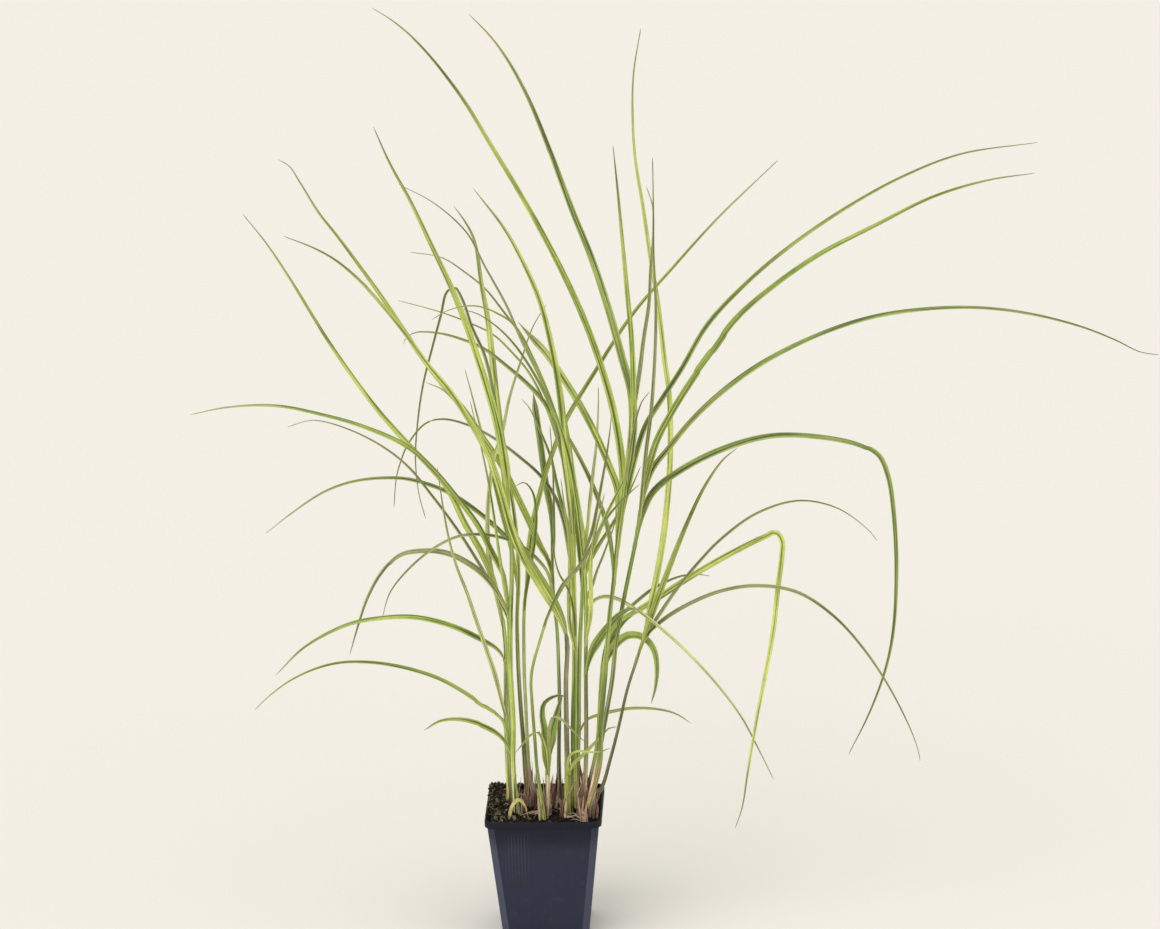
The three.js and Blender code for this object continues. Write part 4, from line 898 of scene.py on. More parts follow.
def soil_finish(settings):
    """Dark damp soil with lighter flecks."""
    n = Nodes("potting_soil")
    tint = n.attribute("tint").outputs["Color"]
    fleck = n.noise(900.0, 5, 0.7)
    colour = n.mix(1.0, tint, n.ramp(fleck, SOIL_FLECKS), "MULTIPLY")
    n.link(colour, n.shader.inputs["Base Color"])
    n.shader.inputs["Roughness"].default_value = settings.roughness
    n.shader.inputs["Specular IOR Level"].default_value = 0.22
    n.link(n.bump(fleck, 0.8, 0.0006), n.shader.inputs["Normal"])
    return n.material


def straw_finish(settings):
    """Dry papery sheaths and straw, with long fibres along each scrap."""
    n = Nodes("dry_straw")
    tint = n.attribute("tint").outputs["Color"]
    across = n.attribute("across").outputs["Fac"]
    fibres = n.math("SINE", n.math("MULTIPLY", across, 22.0))
    blotch = n.noise(160.0, 5, 0.6)
    colour = n.mix(1.0, tint, n.ramp(blotch, STRAW_BLOTCHES), "MULTIPLY")
    n.link(colour, n.shader.inputs["Base Color"])
    n.shader.inputs["Roughness"].default_value = settings.dry_roughness
    height = n.math("ADD", n.math("MULTIPLY", fibres, 0.3), blotch)
    n.link(n.bump(height, 0.6, 0.0003), n.shader.inputs["Normal"])
    return n.material


# The pot. Its body has flat corners, cut off this far, and its rim has round ones.
FACET = 5.5
CORNER_STEPS = 8
SHARP_ANGLE = math.radians(38)
CUTTER_SIDES = 32


def rounded_square(width, radius, z, cut):
    """A square outline with round corners, or with corners cut off flat."""
    inner = width / 2 - radius
    points = []
    for corner in range(4):
        start = corner * math.pi / 2
        cx = inner * (1 if math.cos(start + math.pi / 4) > 0 else -1)
        cy = inner * (1 if math.sin(start + math.pi / 4) > 0 else -1)
        for step in range(CORNER_STEPS + 1):
            turn = step * math.pi / 2 / CORNER_STEPS
            reach = radius / (math.cos(turn) + math.sin(turn)) if cut else radius
            angle = start + turn
            points.append((cx + reach * math.cos(angle), cy + reach * math.sin(angle), z))
    return points


def body_width(z):
    """The pot body's outer width at a height."""
    return POT_BASE_WIDTH + (POT_BODY_TOP_WIDTH - POT_BASE_WIDTH) * z / (POT_HEIGHT - RIM_DEPTH)


def pot_outlines():
    """The pot's surface as outlines, from the outer underside up, over the rim and down inside.

    Each row is a height, a width and the size of its corners.
    """
    under, top = POT_HEIGHT - RIM_DEPTH, POT_HEIGHT
    round_out, round_in = CORNER_RADIUS, CORNER_RADIUS - POT_WALL
    inner = RIM_WIDTH - 2 * POT_WALL
    body = [
        (0, body_width(0) - 1.6, FACET - 0.8),
        (0.25, body_width(0) - 0.5, FACET - 0.2),
        *((z, body_width(z), FACET) for z in (0.8, 20, 45, 70, under - 0.5)),
        (under, body_width(under) + 0.5, FACET + 0.2),
    ]
    rim_and_inside = [
        (under + 0.1, RIM_WIDTH - 0.9, round_out),
        (under + 0.4, RIM_WIDTH - 0.2, round_out),
        (under + 0.9, RIM_WIDTH, round_out),
        (top - 0.8, RIM_WIDTH, round_out),
        (top - 0.25, RIM_WIDTH - 0.35, round_out - 0.15),
        (top, RIM_WIDTH - 1.1, round_out - 0.5),
        (top - 0.05, inner + 0.7, round_in + 0.3),
        (top - 0.5, inner, round_in),
        (under + 2, inner, round_in),
        (under, body_width(under) - 2 * POT_WALL, round_in),
        *((z, body_width(z) - 2 * POT_WALL, round_in) for z in (60, 30, POT_FLOOR + 0.6)),
        (POT_FLOOR, body_width(POT_FLOOR) - 2 * POT_WALL - 1.4, round_in - 0.6),
    ]
    outlines = [rounded_square(width, radius, z, True) for z, width, radius in body]
    outlines += [rounded_square(width, radius, z, False) for z, width, radius in rim_and_inside]
    return outlines


def cut_drain_holes(pot):
    """Cuts the four drain holes through the pot's floor."""
    cutters = []
    for sx in (-1, 1):
        for sy in (-1, 1):
            bpy.ops.mesh.primitive_cylinder_add(
                vertices=CUTTER_SIDES, radius=DRAIN_RADIUS * MM, depth=10 * MM,
                location=(sx * DRAIN_PLACE * MM, sy * DRAIN_PLACE * MM, 0),
            )
            cutters.append(bpy.context.object)
            cut = pot.modifiers.new("drain", "BOOLEAN")
            cut.object = cutters[-1]
            cut.operation = "DIFFERENCE"
            cut.solver = "EXACT"
    bpy.context.view_layer.update()
    evaluated = pot.evaluated_get(bpy.context.evaluated_depsgraph_get())
    cut_mesh = bpy.data.meshes.new_from_object(evaluated)
    pot.modifiers.clear()
    pot.data = cut_mesh
    for cutter in cutters:
        bpy.data.objects.remove(cutter)


def build_pot(settings):
    """The hollow pot, with its rim and drain holes."""
    outlines = pot_outlines()
    size = len(outlines[0])
    vertices = [p for outline in outlines for p in outline]
    faces = []
    for k in range(len(outlines) - 1):
        for i in range(size):
            j = (i + 1) % size
            faces.append((k * size + i, k * size + j, (k + 1) * size + j, (k + 1) * size + i))
    faces.append(tuple(reversed(range(size))))
    last = (len(outlines) - 1) * size
    faces.append(tuple(range(last, last + size)))
    pot = new_piece("nursery_pot", vertices, faces, pot_finish(settings))
    cut_drain_holes(pot)
    pot.data.set_sharp_from_angle(angle=SHARP_ANGLE)
    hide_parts("pot")


# The soil: its bed, heaped at the left and back, and crumbs of four kinds. A crumb is bark, grit or
# moss when a random number is below the shares given here, and plain soil otherwise. Those on the
# rim lie between two distances from the pot's middle.
BED_ROWS = 72
SOIL_REACH = 41
SOIL_CORNER = 6.1
CRUMB_SEED = 11
BIG_SHARE, BARK_BELOW, GRIT_BELOW, MOSS_SHARE = 0.16, 0.12, 0.15, 0.3
BIG_CRUMB, SMALL_CRUMB, RIM_CRUMB = (1.1, 2.0), (0.35, 1.0), (0.5, 1.5)
RIM_FROM, RIM_TO = 39.5, 44.6


def soil_height(x, y):
    """The bed's own height, with low lumps, in millimetres."""
    lumps = noise.fractal(Vector((x / 14, y / 14, 3.1)), 1.0, 2.0, 4)
    fine = noise.noise(Vector((x / 2.3, y / 2.3, 7.7)))
    edge = max(abs(x), abs(y)) / SOIL_REACH
    heap = 4.5 * float(smoothstep(-x, 8, 32)) + 1.6 * float(smoothstep(y, 0, 34))
    return SOIL_TOP + 2.0 + heap + 1.7 * lumps + 0.5 * fine - 1.3 * edge**4


def rounded_in(x, y, half):
    """Pulls a point of a square bed in where the bed's corner is round."""
    past_x = max(0, abs(x) - half + SOIL_CORNER)
    past_y = max(0, abs(y) - half + SOIL_CORNER)
    corner = max(0.0, math.hypot(past_x, past_y) - SOIL_CORNER)
    if corner > 0:
        pull = 1 - corner / math.hypot(x, y)
        x, y = x * pull, y * pull
    return x, y


def build_soil_bed(settings):
    """The soil as one closed block: an uneven top, sloping sides and a flat underside."""
    half = body_width(SOIL_TOP) / 2 - POT_WALL - SOIL_GAP
    vertices, tints = [], []
    for j in range(BED_ROWS + 1):
        for i in range(BED_ROWS + 1):
            x, y = rounded_in(half * (2 * i / BED_ROWS - 1), half * (2 * j / BED_ROWS - 1), half)
            vertices.append((x, y, soil_height(x, y)))
            tints.append(soil_tint(settings, x, y))
    faces = []
    row = BED_ROWS + 1
    for j in range(BED_ROWS):
        for i in range(BED_ROWS):
            a = j * row + i
            faces.append((a, a + 1, a + row + 1, a + row))
    front, right = list(range(row)), [j * row + BED_ROWS for j in range(1, row)]
    back = [BED_ROWS * row + i for i in range(BED_ROWS - 1, -1, -1)]
    rim = front + right + back + [j * row for j in range(BED_ROWS - 1, 0, -1)]
    low_half = body_width(POT_FLOOR + SOIL_GAP) / 2 - POT_WALL - SOIL_GAP
    start = len(vertices)
    for index in rim:
        x, y, _ = vertices[index]
        vertices.append((x * low_half / half, y * low_half / half, POT_FLOOR + SOIL_GAP))
        tints.append(soil_tint(settings, x, y))
    size = len(rim)
    for k in range(size):
        m = (k + 1) % size
        faces.append((rim[m], rim[k], start + k, start + m))
    faces.append(tuple(start + k for k in reversed(range(size))))
    bed = new_piece("soil_bed", vertices, faces, soil_finish(settings))
    point_colours(bed, "tint", tints)
    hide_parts("soil")


def soil_tint(settings, x, y):
    """Near black, with a thin green film of moss at the left edge."""
    patch = max(0.0, noise.noise(Vector((x / 5, y / 5, 1.0))) + 0.25)
    moss = patch * max(0.0, min(1.0, (-x - 12) / 22))
    colour = Vector(settings.colour).lerp(Vector(settings.moss_colour), min(0.75, moss))
    return (*colour, 1)


def lump(rng, centre, radius, level):
    """An uneven crumb as points and triangles."""
    made = bmesh.new()
    bmesh.ops.create_icosphere(made, subdivisions=level, radius=1)
    stretch = Vector((rng.uniform(0.7, 1.3), rng.uniform(0.7, 1.2), rng.uniform(0.5, 0.95)))
    angle = rng.uniform(*ANY_TURN)
    axis = Vector((rng.random(), rng.random(), rng.random() + 0.1)).normalized()
    spin = Matrix.Rotation(angle, 3, axis)
    seed = Vector((rng.uniform(0, 99), 0, 0))
    points = []
    for vertex in made.verts:
        p = vertex.co * (1 + 0.42 * noise.noise(vertex.co * 1.7 + seed))
        p = spin @ Vector((p.x * stretch.x, p.y * stretch.y, p.z * stretch.z))
        points.append(Vector(centre) + p * radius)
    triangles = [tuple(v.index for v in face.verts) for face in made.faces]
    made.free()
    return points, triangles


def crumb_tint(settings, rng, left):
    """A crumb's colour: bark, grit, moss towards the left, or plain soil."""
    tone = rng.random()
    if tone < BARK_BELOW:
        return Vector(settings.bark_colour) * rng.uniform(0.6, 1.2)
    if tone < GRIT_BELOW:
        return Vector(settings.grit_colour) * rng.uniform(0.6, 1.0)
    if tone < GRIT_BELOW + MOSS_SHARE * left:
        return Vector(settings.moss_colour) * rng.uniform(0.6, 1.5)
    return Vector(settings.colour) * rng.uniform(0.6, 1.7)


def build_crumbs(settings):
    """Crumbs of soil, bark and grit heaped on the bed, a few of them on the rim."""
    rng = random.Random(CRUMB_SEED)
    half = body_width(SOIL_TOP) / 2 - POT_WALL - 1.8
    feet = [(stem["foot"], stem["thick"]) for stem in STEMS]
    vertices, faces, tints = [], [], []

    def add(made, tint):
        start = len(vertices)
        vertices.extend(made[0])
        faces.extend(tuple(start + i for i in t) for t in made[1])
        tints.extend([(*tint, 1)] * len(made[0]))

    for _ in range(settings.crumbs):
        x, y = rng.uniform(-half, half), rng.uniform(-half, half)
        big = rng.random() < BIG_SHARE
        radius = rng.uniform(*(BIG_CRUMB if big else SMALL_CRUMB))
        if any(math.dist((x, y), foot) < thick * 1.3 + radius * 0.8 for foot, thick in feet):
            continue
        left = max(0.0, min(1.0, (-x - 5) / 30))
        z = soil_height(x, y) + radius * rng.uniform(-0.1, 0.75) + rng.random() ** 2 * 2.2 * left
        tint = crumb_tint(settings, rng, left)
        add(lump(rng, (x, y, z), radius, 2 if big else 1), tint)
    for k in range(settings.rim_crumbs):
        along = rng.random()
        if k % 5 < 3:
            x, y = rng.uniform(-RIM_TO, -RIM_FROM), 43 - 70 * along
        else:
            x, y = -43 + 26 * along, rng.uniform(RIM_FROM, RIM_TO)
        radius = rng.uniform(*RIM_CRUMB) * (1 - 0.5 * along)
        colour = settings.moss_colour if rng.random() < 0.5 else settings.colour
        tint = Vector(colour) * rng.uniform(0.7, 1.8)
        add(lump(rng, (x, y, POT_HEIGHT + radius * rng.uniform(0.1, 0.7)), radius, 1), tint)
    crumbs = new_piece("soil_crumbs", vertices, faces, soil_finish(settings))
    point_colours(crumbs, "tint", tints)


# The grass. A blade's section has a point at each of these shares of its half width. Every blade
# draws a wave and a tone from these ranges. Light and dark lines run along blades and stems: how
# closely they lie across, and how long they are in millimetres. A collar is how much a stem swells
# where a blade leaves it, and over what length.
STATIONS = np.array([-1, -0.86, -0.6, -0.3, -0.1, 0, 0.1, 0.3, 0.6, 0.86, 1])
STEM_SIDES = 12
GRASS_SEED = 100
GRAIN_SEEDS = (0, 400)
WAVE, WAVE_LENGTH, TONE = (0.02, 0.07), 19, (0.86, 1.12)
LINES_ACROSS, LINE_LENGTH = 2.1, 75
STEM_LINES_ROUND, STEM_LINE_LENGTH = 1.9, 70
COLLAR, COLLAR_LENGTH = 0.16, 2.5


def across_blade(along, outward, turn):
    """The direction across a blade: level by nature, turned towards the front by turn."""
    level = np.array([-outward[1], outward[0], 0])
    level = unit(level - along * (level @ along))
    facing = unit(np.cross(along, EYE_FORWARD))
    if facing @ level < 0:
        facing = -facing
    return unit(level * math.cos(turn) + facing * math.sin(turn))


class Gathered:
    """Points, faces and their values for one leafy stem, gathered from its strands."""

    def __init__(self):
        self.points, self.faces, self.tints, self.across, self.grain = [], [], [], [], []

    def grid(self, rows, tints, across, grain=()):
        """Joins rows of equal length into a skin, closed round each row, with capped ends."""
        start, size = len(self.points), len(rows[0])
        for row, tint in zip(rows, tints):
            self.points += list(row)
            self.tints += [tint] * size if np.ndim(tint) == 1 else list(tint)
            self.across += list(across)
        for row in grain:
            self.grain += list(row)
        for k in range(len(rows) - 1):
            for i in range(size):
                j = (i + 1) % size
                a, b = start + k * size + i, start + k * size + j
                self.faces.append((a, b, b + size, a + size))
        self.faces.append(tuple(start + i for i in reversed(range(size))))
        top = start + (len(rows) - 1) * size
        self.faces.append(tuple(top + i for i in range(size)))


def tangents(line):
    """The direction along a line at each of its points."""
    ends = np.vstack([line[1] - line[0], line[2:] - line[:-2], line[-1] - line[-2]])
    return ends / np.linalg.norm(ends, axis=1)[:, None]


def mixed(a, b, share):
    """A colour on the way from one colour to another."""
    return tuple(float(p + (q - p) * share) for p, q in zip(a, b))


def blade_tint(settings, blade, share, along, tone):
    """A blade's colour along its length: pale at the foot, and dry at the very tip."""
    colour = getattr(settings, blade["tint"] + "_colour")
    colour = mixed(colour, settings.foot_and_stem_light_colour, 0.3 * (1 - float(smoothstep(along, 0, 90))))
    colour = mixed(colour, settings.dusky_colour, 0.45 * float(smoothstep(share, 0.5, 0.95)))
    colour = mixed(colour, settings.tip_colour, float(smoothstep(share, 0.86, 1.0)))
    return (*(c * tone for c in colour), 1)


def row_round(shares, centre, across, up, upper, lower):
    """A closed row of points round a strip: over its upper side and back under its lower one."""
    over = [centre + across * u + up * h for u, h in zip(shares, upper)]
    under = [centre + across * u + up * h for u, h in zip(shares, lower)]
    return list(reversed(over + under[::-1][1:-1]))


def round_order(shares):
    """The shares across a strip in the order of such a row."""
    return np.concatenate([shares, shares[::-1][1:-1]])[::-1]


def add_blade(gathered, strand, settings, rng):
    """A keeled blade with a raised midrib, thin edges and a slight wave."""
    line = strand.middle_line()
    along = tangents(line)
    outward = unit((line[-1] - line[0]) * (1, 1, 0))
    turn = math.radians(strand.blade["turn"])
    wave, phase, tone = rng.uniform(*WAVE), rng.uniform(*ANY_TURN), rng.uniform(*TONE)
    keel = np.abs(STATIONS) ** 1.25
    over = 0.25 + 0.3 * np.exp(-((STATIONS / 0.12) ** 2))
    under = 0.22 + 0.5 * np.exp(-((STATIONS / 0.16) ** 2))
    rows, tints = [], []
    previous = None
    for k in range(len(line)):
        waved = turn + wave * math.sin(strand.along[k] / WAVE_LENGTH + phase)
        across = across_blade(along[k], outward, waved)
        if previous is not None and across @ previous < 0:
            across = -across
        previous = across
        up = np.cross(across, along[k])
        share = strand.along[k] / strand.reach
        half = strand.half[k] * (1 if k < len(line) - 1 else 0.25)
        rise = BLADE_FOLD * half * 0.9 * keel
        thick = settings.blade_thickness * (1 - 0.45 * share)
        top, low = rise + thick * over, rise - thick * under
        rows.append(row_round(STATIONS, line[k], across * half, up, top, low))
        tints.append(blade_tint(settings, strand.blade, share, strand.along[k], tone))
    seed = rng.uniform(*GRAIN_SEEDS)
    order = round_order(STATIONS)
    grain = [[(LINES_ACROSS * u, s / LINE_LENGTH, seed) for u in order] for s in strand.along]
    gathered.grid(rows, tints, order, grain)


# Each stem's colours at its foot, along its middle and towards its top, and the heights between
# which one turns into the next.
FOOT_ENDS, TOP_STARTS = (108, 150), (185, 260)
STEM_TONES = {
    "stem_left_outer": ("fresh", "pale", "fresh"),
    "stem_left_inner": ("bark", "deep", "green"),
    "stem_left_front": ("pale", "fresh", "green"),
    "stem_left_tall": ("bark", "dusky", "fresh"),
    "stem_slender": ("fresh", "green", "fresh"),
    "stem_left_back": ("sheath", "pale", "fresh"),
    "young_shoot": ("sheath", "green", "lush"),
    "stem_middle_back": ("plum", "dusky", "green"),
    "stem_middle_front": ("fresh", "plum", "dusky"),
    "stem_middle": ("bright", "green", "bright"),
    "stem_right_back": ("bark", "deep", "green"),
    "stem_right_front": ("sheath", "plum", "fresh"),
    "stem_right_main": ("plum", "fresh", "bright"),
    "stem_right_tall": ("sheath", "dusky", "green"),
    "stem_leaning": ("plum", "plum", "green"),
    "stem_right_low": ("straw", "fresh", "green"),
    "stem_right_edge": ("bark", "deep", "green"),
}


def stem_tint(settings, stem, height, facing):
    """The foot's tone near the soil, then the stem's own, painted lighter on one side as if lit."""
    foot, middle, top = (getattr(settings, tone + "_colour") for tone in STEM_TONES[stem["name"]])
    colour = mixed(foot, middle, float(smoothstep(height, *FOOT_ENDS)))
    colour = mixed(colour, top, float(smoothstep(height, *TOP_STARTS)))
    return (*mixed(colour, settings.foot_and_stem_light_colour, 0.2 * facing), 1)


def add_stem(gathered, strand, settings, rng):
    """A round, faintly ridged stem, with a small collar where each blade leaves it."""
    line = strand.middle_line()
    along = tangents(line)
    leaves = sorted(blade["leaves"] for blade in strand.stem["blades"])
    # Painted light: one side of each stem, turned at random, is painted lighter towards the foot
    # colour, as if lit.
    lit = rng.uniform(*ANY_TURN)
    angles = [2 * math.pi * i / STEM_SIDES for i in range(STEM_SIDES)]
    painted_light_shares = [max(0.0, math.cos(angle - lit)) ** 2 for angle in angles]
    rows, tints = [], []
    for k in range(len(line)):
        side = unit(np.array([1.0, 0, 0]) - along[k] * along[k][0])
        back = np.cross(along[k], side)
        height = strand.z[k]
        collar = sum(COLLAR * math.exp(-(((height - h) / COLLAR_LENGTH) ** 2)) for h in leaves)
        radius = strand.half[k] * (0.97 + collar) * (0.3 if k == len(line) - 1 else 1)
        ring = []
        for angle in angles:
            ridge = 1 + 0.035 * math.cos(3 * angle + 1)
            spoke = side * math.cos(angle) + back * math.sin(angle)
            ring.append(line[k] + spoke * radius * ridge)
        rows.append(ring)
        tints.append([stem_tint(settings, strand.stem, height, facing) for facing in painted_light_shares])
    seed = rng.uniform(*GRAIN_SEEDS)
    spokes = [(STEM_LINES_ROUND * math.cos(a), STEM_LINES_ROUND * math.sin(a)) for a in angles]
    grain = [[(*spoke, seed + s / STEM_LINE_LENGTH) for spoke in spokes] for s in strand.along]
    gathered.grid(rows, tints, [0.5] * STEM_SIDES, grain)


def build_leafy_stems(settings):
    """Every stem with its blades, each as one piece."""
    trunks, leaves = lay_all_strands()
    material = grass_finish(settings)
    for number, trunk in enumerate(trunks):
        rng = random.Random(GRASS_SEED + number)
        gathered = Gathered()
        add_stem(gathered, trunk, settings, rng)
        for leaf in leaves:
            if leaf.trunk is trunk:
                add_blade(gathered, leaf, settings, rng)
        name = trunk.stem["name"]
        piece = new_piece("leafy_" + name, gathered.points, gathered.faces, material)
        point_colours(piece, "tint", gathered.tints)
        point_values(piece, "across", gathered.across)
        point_vectors(piece, "grain", gathered.grain)
        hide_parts(name)


# Dry sheaths, stubs and straw. A wrap is a sheath round a foot, a sliver is a strip that stands
# against one, and a scrap is any dry strip. Pairs are the least and the most of a random size.
DRY_SEED = 5
SCRAP_STATIONS = np.linspace(-1, 1, 7)
SCRAP_ROWS = 14
SCRAP_THICKNESS = 0.2
WRAP_SIDES, WRAP_LEVELS, WRAP_THICKNESS = 16, 8, 0.22
WRAP_GAP, WRAP_HEIGHT = 0.15, (6, 14)
SLIVER_WIDTH, SLIVER_HEIGHT = (0.9, 2.3), (8, 36)
SLIVERS_PER_STEM, SLIVERS_PER_STUB, LOOSE_STRAWS = 7, 3, 46
STRAW_WIDTH, STRAW_LENGTH = (0.7, 1.8), (5, 15)

# The bent yellow straw at the front left, as the eye sees it.
LOOP = [(-27.4, 88), (-25, 97.5), (-19.8, 103), (-15.2, 98), (-13.7, 90)]
LOOP_DEPTH, LOOP_WIDTH, LOOP_THICKNESS, LOOP_COLOUR = -30, 3.2, 0.25, (0.70, 0.66, 0.28)

# Torn ends that stick out among the stems: seen x and z, depth and reach to the right.
TORN_ENDS = [
    (39, 108, -20, 5), (42, 106, 2, 4), (-3, 112, -8, -4), (22, 116, -18, 6), (30, 119, -16, 5),
]
TORN_WIDTH, TORN_THICKNESS = 1.6, 0.22

# Old cut stubs in the soil: x, y, height above the soil, lean to the right and thickness.
STUBS = [
    (-16, -4, 19, -1, 1.7), (-6, 2, 24, 1, 1.5), (8, 2, 27, -2, 2.0), (14, -20, 22, -1, 1.6),
    (15, 5, 30, 1, 2.2), (27, -20, 24, 3, 1.6), (38, -8, 25, 4, 2.0), (20, 16, 30, -1, 2.2),
    (4, 12, 24, 2, 1.8), (-20, 17, 18, -2, 1.8), (33, 4, 31, 2, 2.1), (40, -18, 17, 2, 1.4),
]


def add_scrap(gathered, path, width, tint, rng, thickness=SCRAP_THICKNESS):
    """A dry strip that follows a short path, cupped across and torn to a point."""
    knots = [np.array(p, float) for p in path]
    line = np.array([curve_point(knots, t) for t in np.linspace(0, 1, SCRAP_ROWS)])
    along = tangents(line)
    spin = rng.uniform(*ANY_TURN)
    reference = np.array([math.cos(spin), math.sin(spin), 0.2])
    rows, tints = [], []
    for k in range(SCRAP_ROWS):
        across = unit(np.cross(along[k], reference))
        up = np.cross(across, along[k])
        point = min(1, (1 - k / (SCRAP_ROWS - 1)) * 2.4 + 0.05)
        half = max(0.12, width / 2 * point * (1 + 0.12 * math.sin(k * 2.1 + spin)))
        cup = 0.5 * half * SCRAP_STATIONS**2
        top, low = cup + thickness / 2, cup - thickness / 2
        rows.append(row_round(SCRAP_STATIONS, line[k], across * half, up, top, low))
        shade = rng.uniform(0.85, 1.1)
        tints.append((*(c * shade for c in tint), 1))
    gathered.grid(rows, tints, round_order(SCRAP_STATIONS))


def add_wrap(gathered, foot, radius, height, lean, tint, rng):
    """A papery sheath round a stem's foot, open along one side, with a torn upper edge."""
    opening = rng.uniform(*ANY_TURN)
    tears = [rng.uniform(0.72, 1.0) for _ in range(WRAP_SIDES)]
    rows, tints = [], []
    for k in range(WRAP_LEVELS + 1):
        share = k / WRAP_LEVELS
        cx, cy = foot[0] + lean * share * height / 25, foot[1]
        outer, inner = [], []
        for i in range(WRAP_SIDES):
            angle = opening + (0.12 + 0.8 * i / (WRAP_SIDES - 1)) * 2 * math.pi
            z = SOIL_TOP + height * share * (tears[i] if k > WRAP_LEVELS - 3 else 1)
            flare = radius * (1 + 0.18 * share**3 + 0.05 * math.sin(5 * angle + k))
            for ring, reach in ((outer, flare), (inner, flare - WRAP_THICKNESS)):
                spoke = (reach * math.cos(angle), reach * math.sin(angle))
                ring.append(np.array([cx + spoke[0], cy + spoke[1], z]))
        rows.append(outer + inner[::-1])
        shade = rng.uniform(0.9, 1.1) * (0.7 + 0.4 * share)
        tints.append((*(c * shade for c in tint), 1))
    around = np.linspace(-1, 1, WRAP_SIDES)
    gathered.grid(rows, tints, np.concatenate([around, around[::-1]]))


def add_sliver(gathered, foot, reach, height, tones, rng):
    """A narrow dry strip that stands against a stem's foot."""
    spin, lean = rng.uniform(*ANY_TURN), rng.uniform(-0.12, 0.16)
    cx, cy = foot[0] + reach * math.cos(spin), foot[1] + reach * math.sin(spin)
    middle = (cx + lean * height * 0.4, cy + 0.5, SOIL_TOP + height * 0.5)
    end = (cx + lean * height, cy + rng.uniform(-1.5, 1.5), SOIL_TOP + height)
    width = rng.uniform(*SLIVER_WIDTH)
    add_scrap(gathered, [(cx, cy, SOIL_TOP), middle, end], width, rng.choice(tones), rng)


def add_feet(gathered, settings, tones, rng):
    """Sheaths and slivers round the foot of each stem and of each old stub."""
    pink, brown = settings.sheath_colour, settings.bark_colour
    for stem in STEMS:
        foot, radius = stem["foot"], stem["thick"] * SHEATH_SWELL
        if STEM_TONES[stem["name"]][0] in ("bark", "plum", "sheath"):
            tint = mixed(pink, brown, rng.random() * 0.45)
            height = rng.uniform(*WRAP_HEIGHT)
            add_wrap(gathered, foot, radius + WRAP_GAP, height, 0.3, tint, rng)
        for _ in range(SLIVERS_PER_STEM):
            reach, height = radius + rng.uniform(0.1, 1.6), rng.uniform(*SLIVER_HEIGHT)
            add_sliver(gathered, foot, reach, height, tones, rng)
    for x, y, height, lean, thick in STUBS:
        tint = mixed(pink, brown, rng.random())
        add_wrap(gathered, (x, y), thick * 0.6, height * rng.uniform(0.5, 0.9), lean, tint, rng)
        for _ in range(SLIVERS_PER_STUB):
            reach, share = rng.uniform(0.6, 2.0), rng.uniform(0.5, 1.15)
            add_sliver(gathered, (x, y), reach, height * share, tones, rng)


def add_loose_straw(gathered, settings, rng):
    """Short straws that lie on the soil, and torn ends that stick out among the stems."""
    pink, straw = settings.sheath_colour, settings.straw_colour
    for _ in range(LOOSE_STRAWS):
        x, y = rng.uniform(-36, 38), rng.uniform(-37, 36)
        spin, length = rng.uniform(*ANY_TURN), rng.uniform(*STRAW_LENGTH)
        z = soil_height(x, y) + 1.4
        reach, bent = length / 2, spin + 0.3
        middle = (x + math.cos(spin) * reach, y + math.sin(spin) * reach, z + rng.uniform(0.5, 2.2))
        end = (x + math.cos(bent) * length, y + math.sin(bent) * length, z + rng.uniform(-0.5, 3))
        if max(abs(end[0]), abs(end[1])) > SOIL_REACH - 1:
            continue
        tint = mixed(straw, pink, rng.random())
        add_scrap(gathered, [(x, y, z - 0.8), middle, end], rng.uniform(*STRAW_WIDTH), tint, rng)
    loop = [place(x, z, LOOP_DEPTH) for x, z in LOOP]
    add_scrap(gathered, loop, LOOP_WIDTH, LOOP_COLOUR, rng, LOOP_THICKNESS)
    for x, z, y, reach in TORN_ENDS:
        foot, middle = place(x - reach, z - 14, y), place(x - reach * 0.3, z - 5, y)
        path = [foot, middle, place(x + reach * 0.5, z + 4, y - 2)]
        add_scrap(gathered, path, TORN_WIDTH, mixed(straw, pink, 0.4), rng, TORN_THICKNESS)


def build_dry_bits(settings):
    """The dry sheaths, slivers and straw as one piece."""
    rng = random.Random(DRY_SEED)
    gathered = Gathered()
    pink, straw, brown = settings.sheath_colour, settings.straw_colour, settings.bark_colour
    umber, dark = mixed(pink, brown, 0.5), mixed(brown, (0, 0, 0), 0.6)
    add_feet(gathered, settings, (pink, straw, straw, pink, brown, umber, dark), rng)
    add_loose_straw(gathered, settings, rng)
    bits = new_piece("dry_sheaths", gathered.points, gathered.faces, straw_finish(settings))
    point_colours(bits, "tint", gathered.tints)
    point_values(bits, "across", gathered.across)


# The stage: each light's name, the place it shines from and its share of the main power.
LIGHTS = (
    ("key_light", (-1.5, -2.2, 2.0), 1),
    ("fill_light", (2.2, -1.6, 1.25), 0.4),
    ("back_light", (0.2, 1.9, 2.25), 0.2),
)
LIGHT_COLOUR = (1.0, 0.985, 0.955)
FLOOR_ROUGHNESS, FLOOR_SHINE = 0.9, 0.1
SENSOR_WIDTH, SEEN_TO = 36, 50


def build_floor(settings):
    """A wide pale floor."""
    material = bpy.data.materials.new("pale_floor")
    material.use_nodes = True
    shader = material.node_tree.nodes["Principled BSDF"]
    shader.inputs["Base Color"].default_value = (*settings.floor_colour, 1)
    shader.inputs["Roughness"].default_value = FLOOR_ROUGHNESS
    shader.inputs["Specular IOR Level"].default_value = FLOOR_SHINE
    bpy.ops.mesh.primitive_circle_add(vertices=64, radius=settings.floor_radius, fill_type="NGON")
    floor = bpy.context.object
    floor.name = "floor"
    floor.data.materials.append(material)


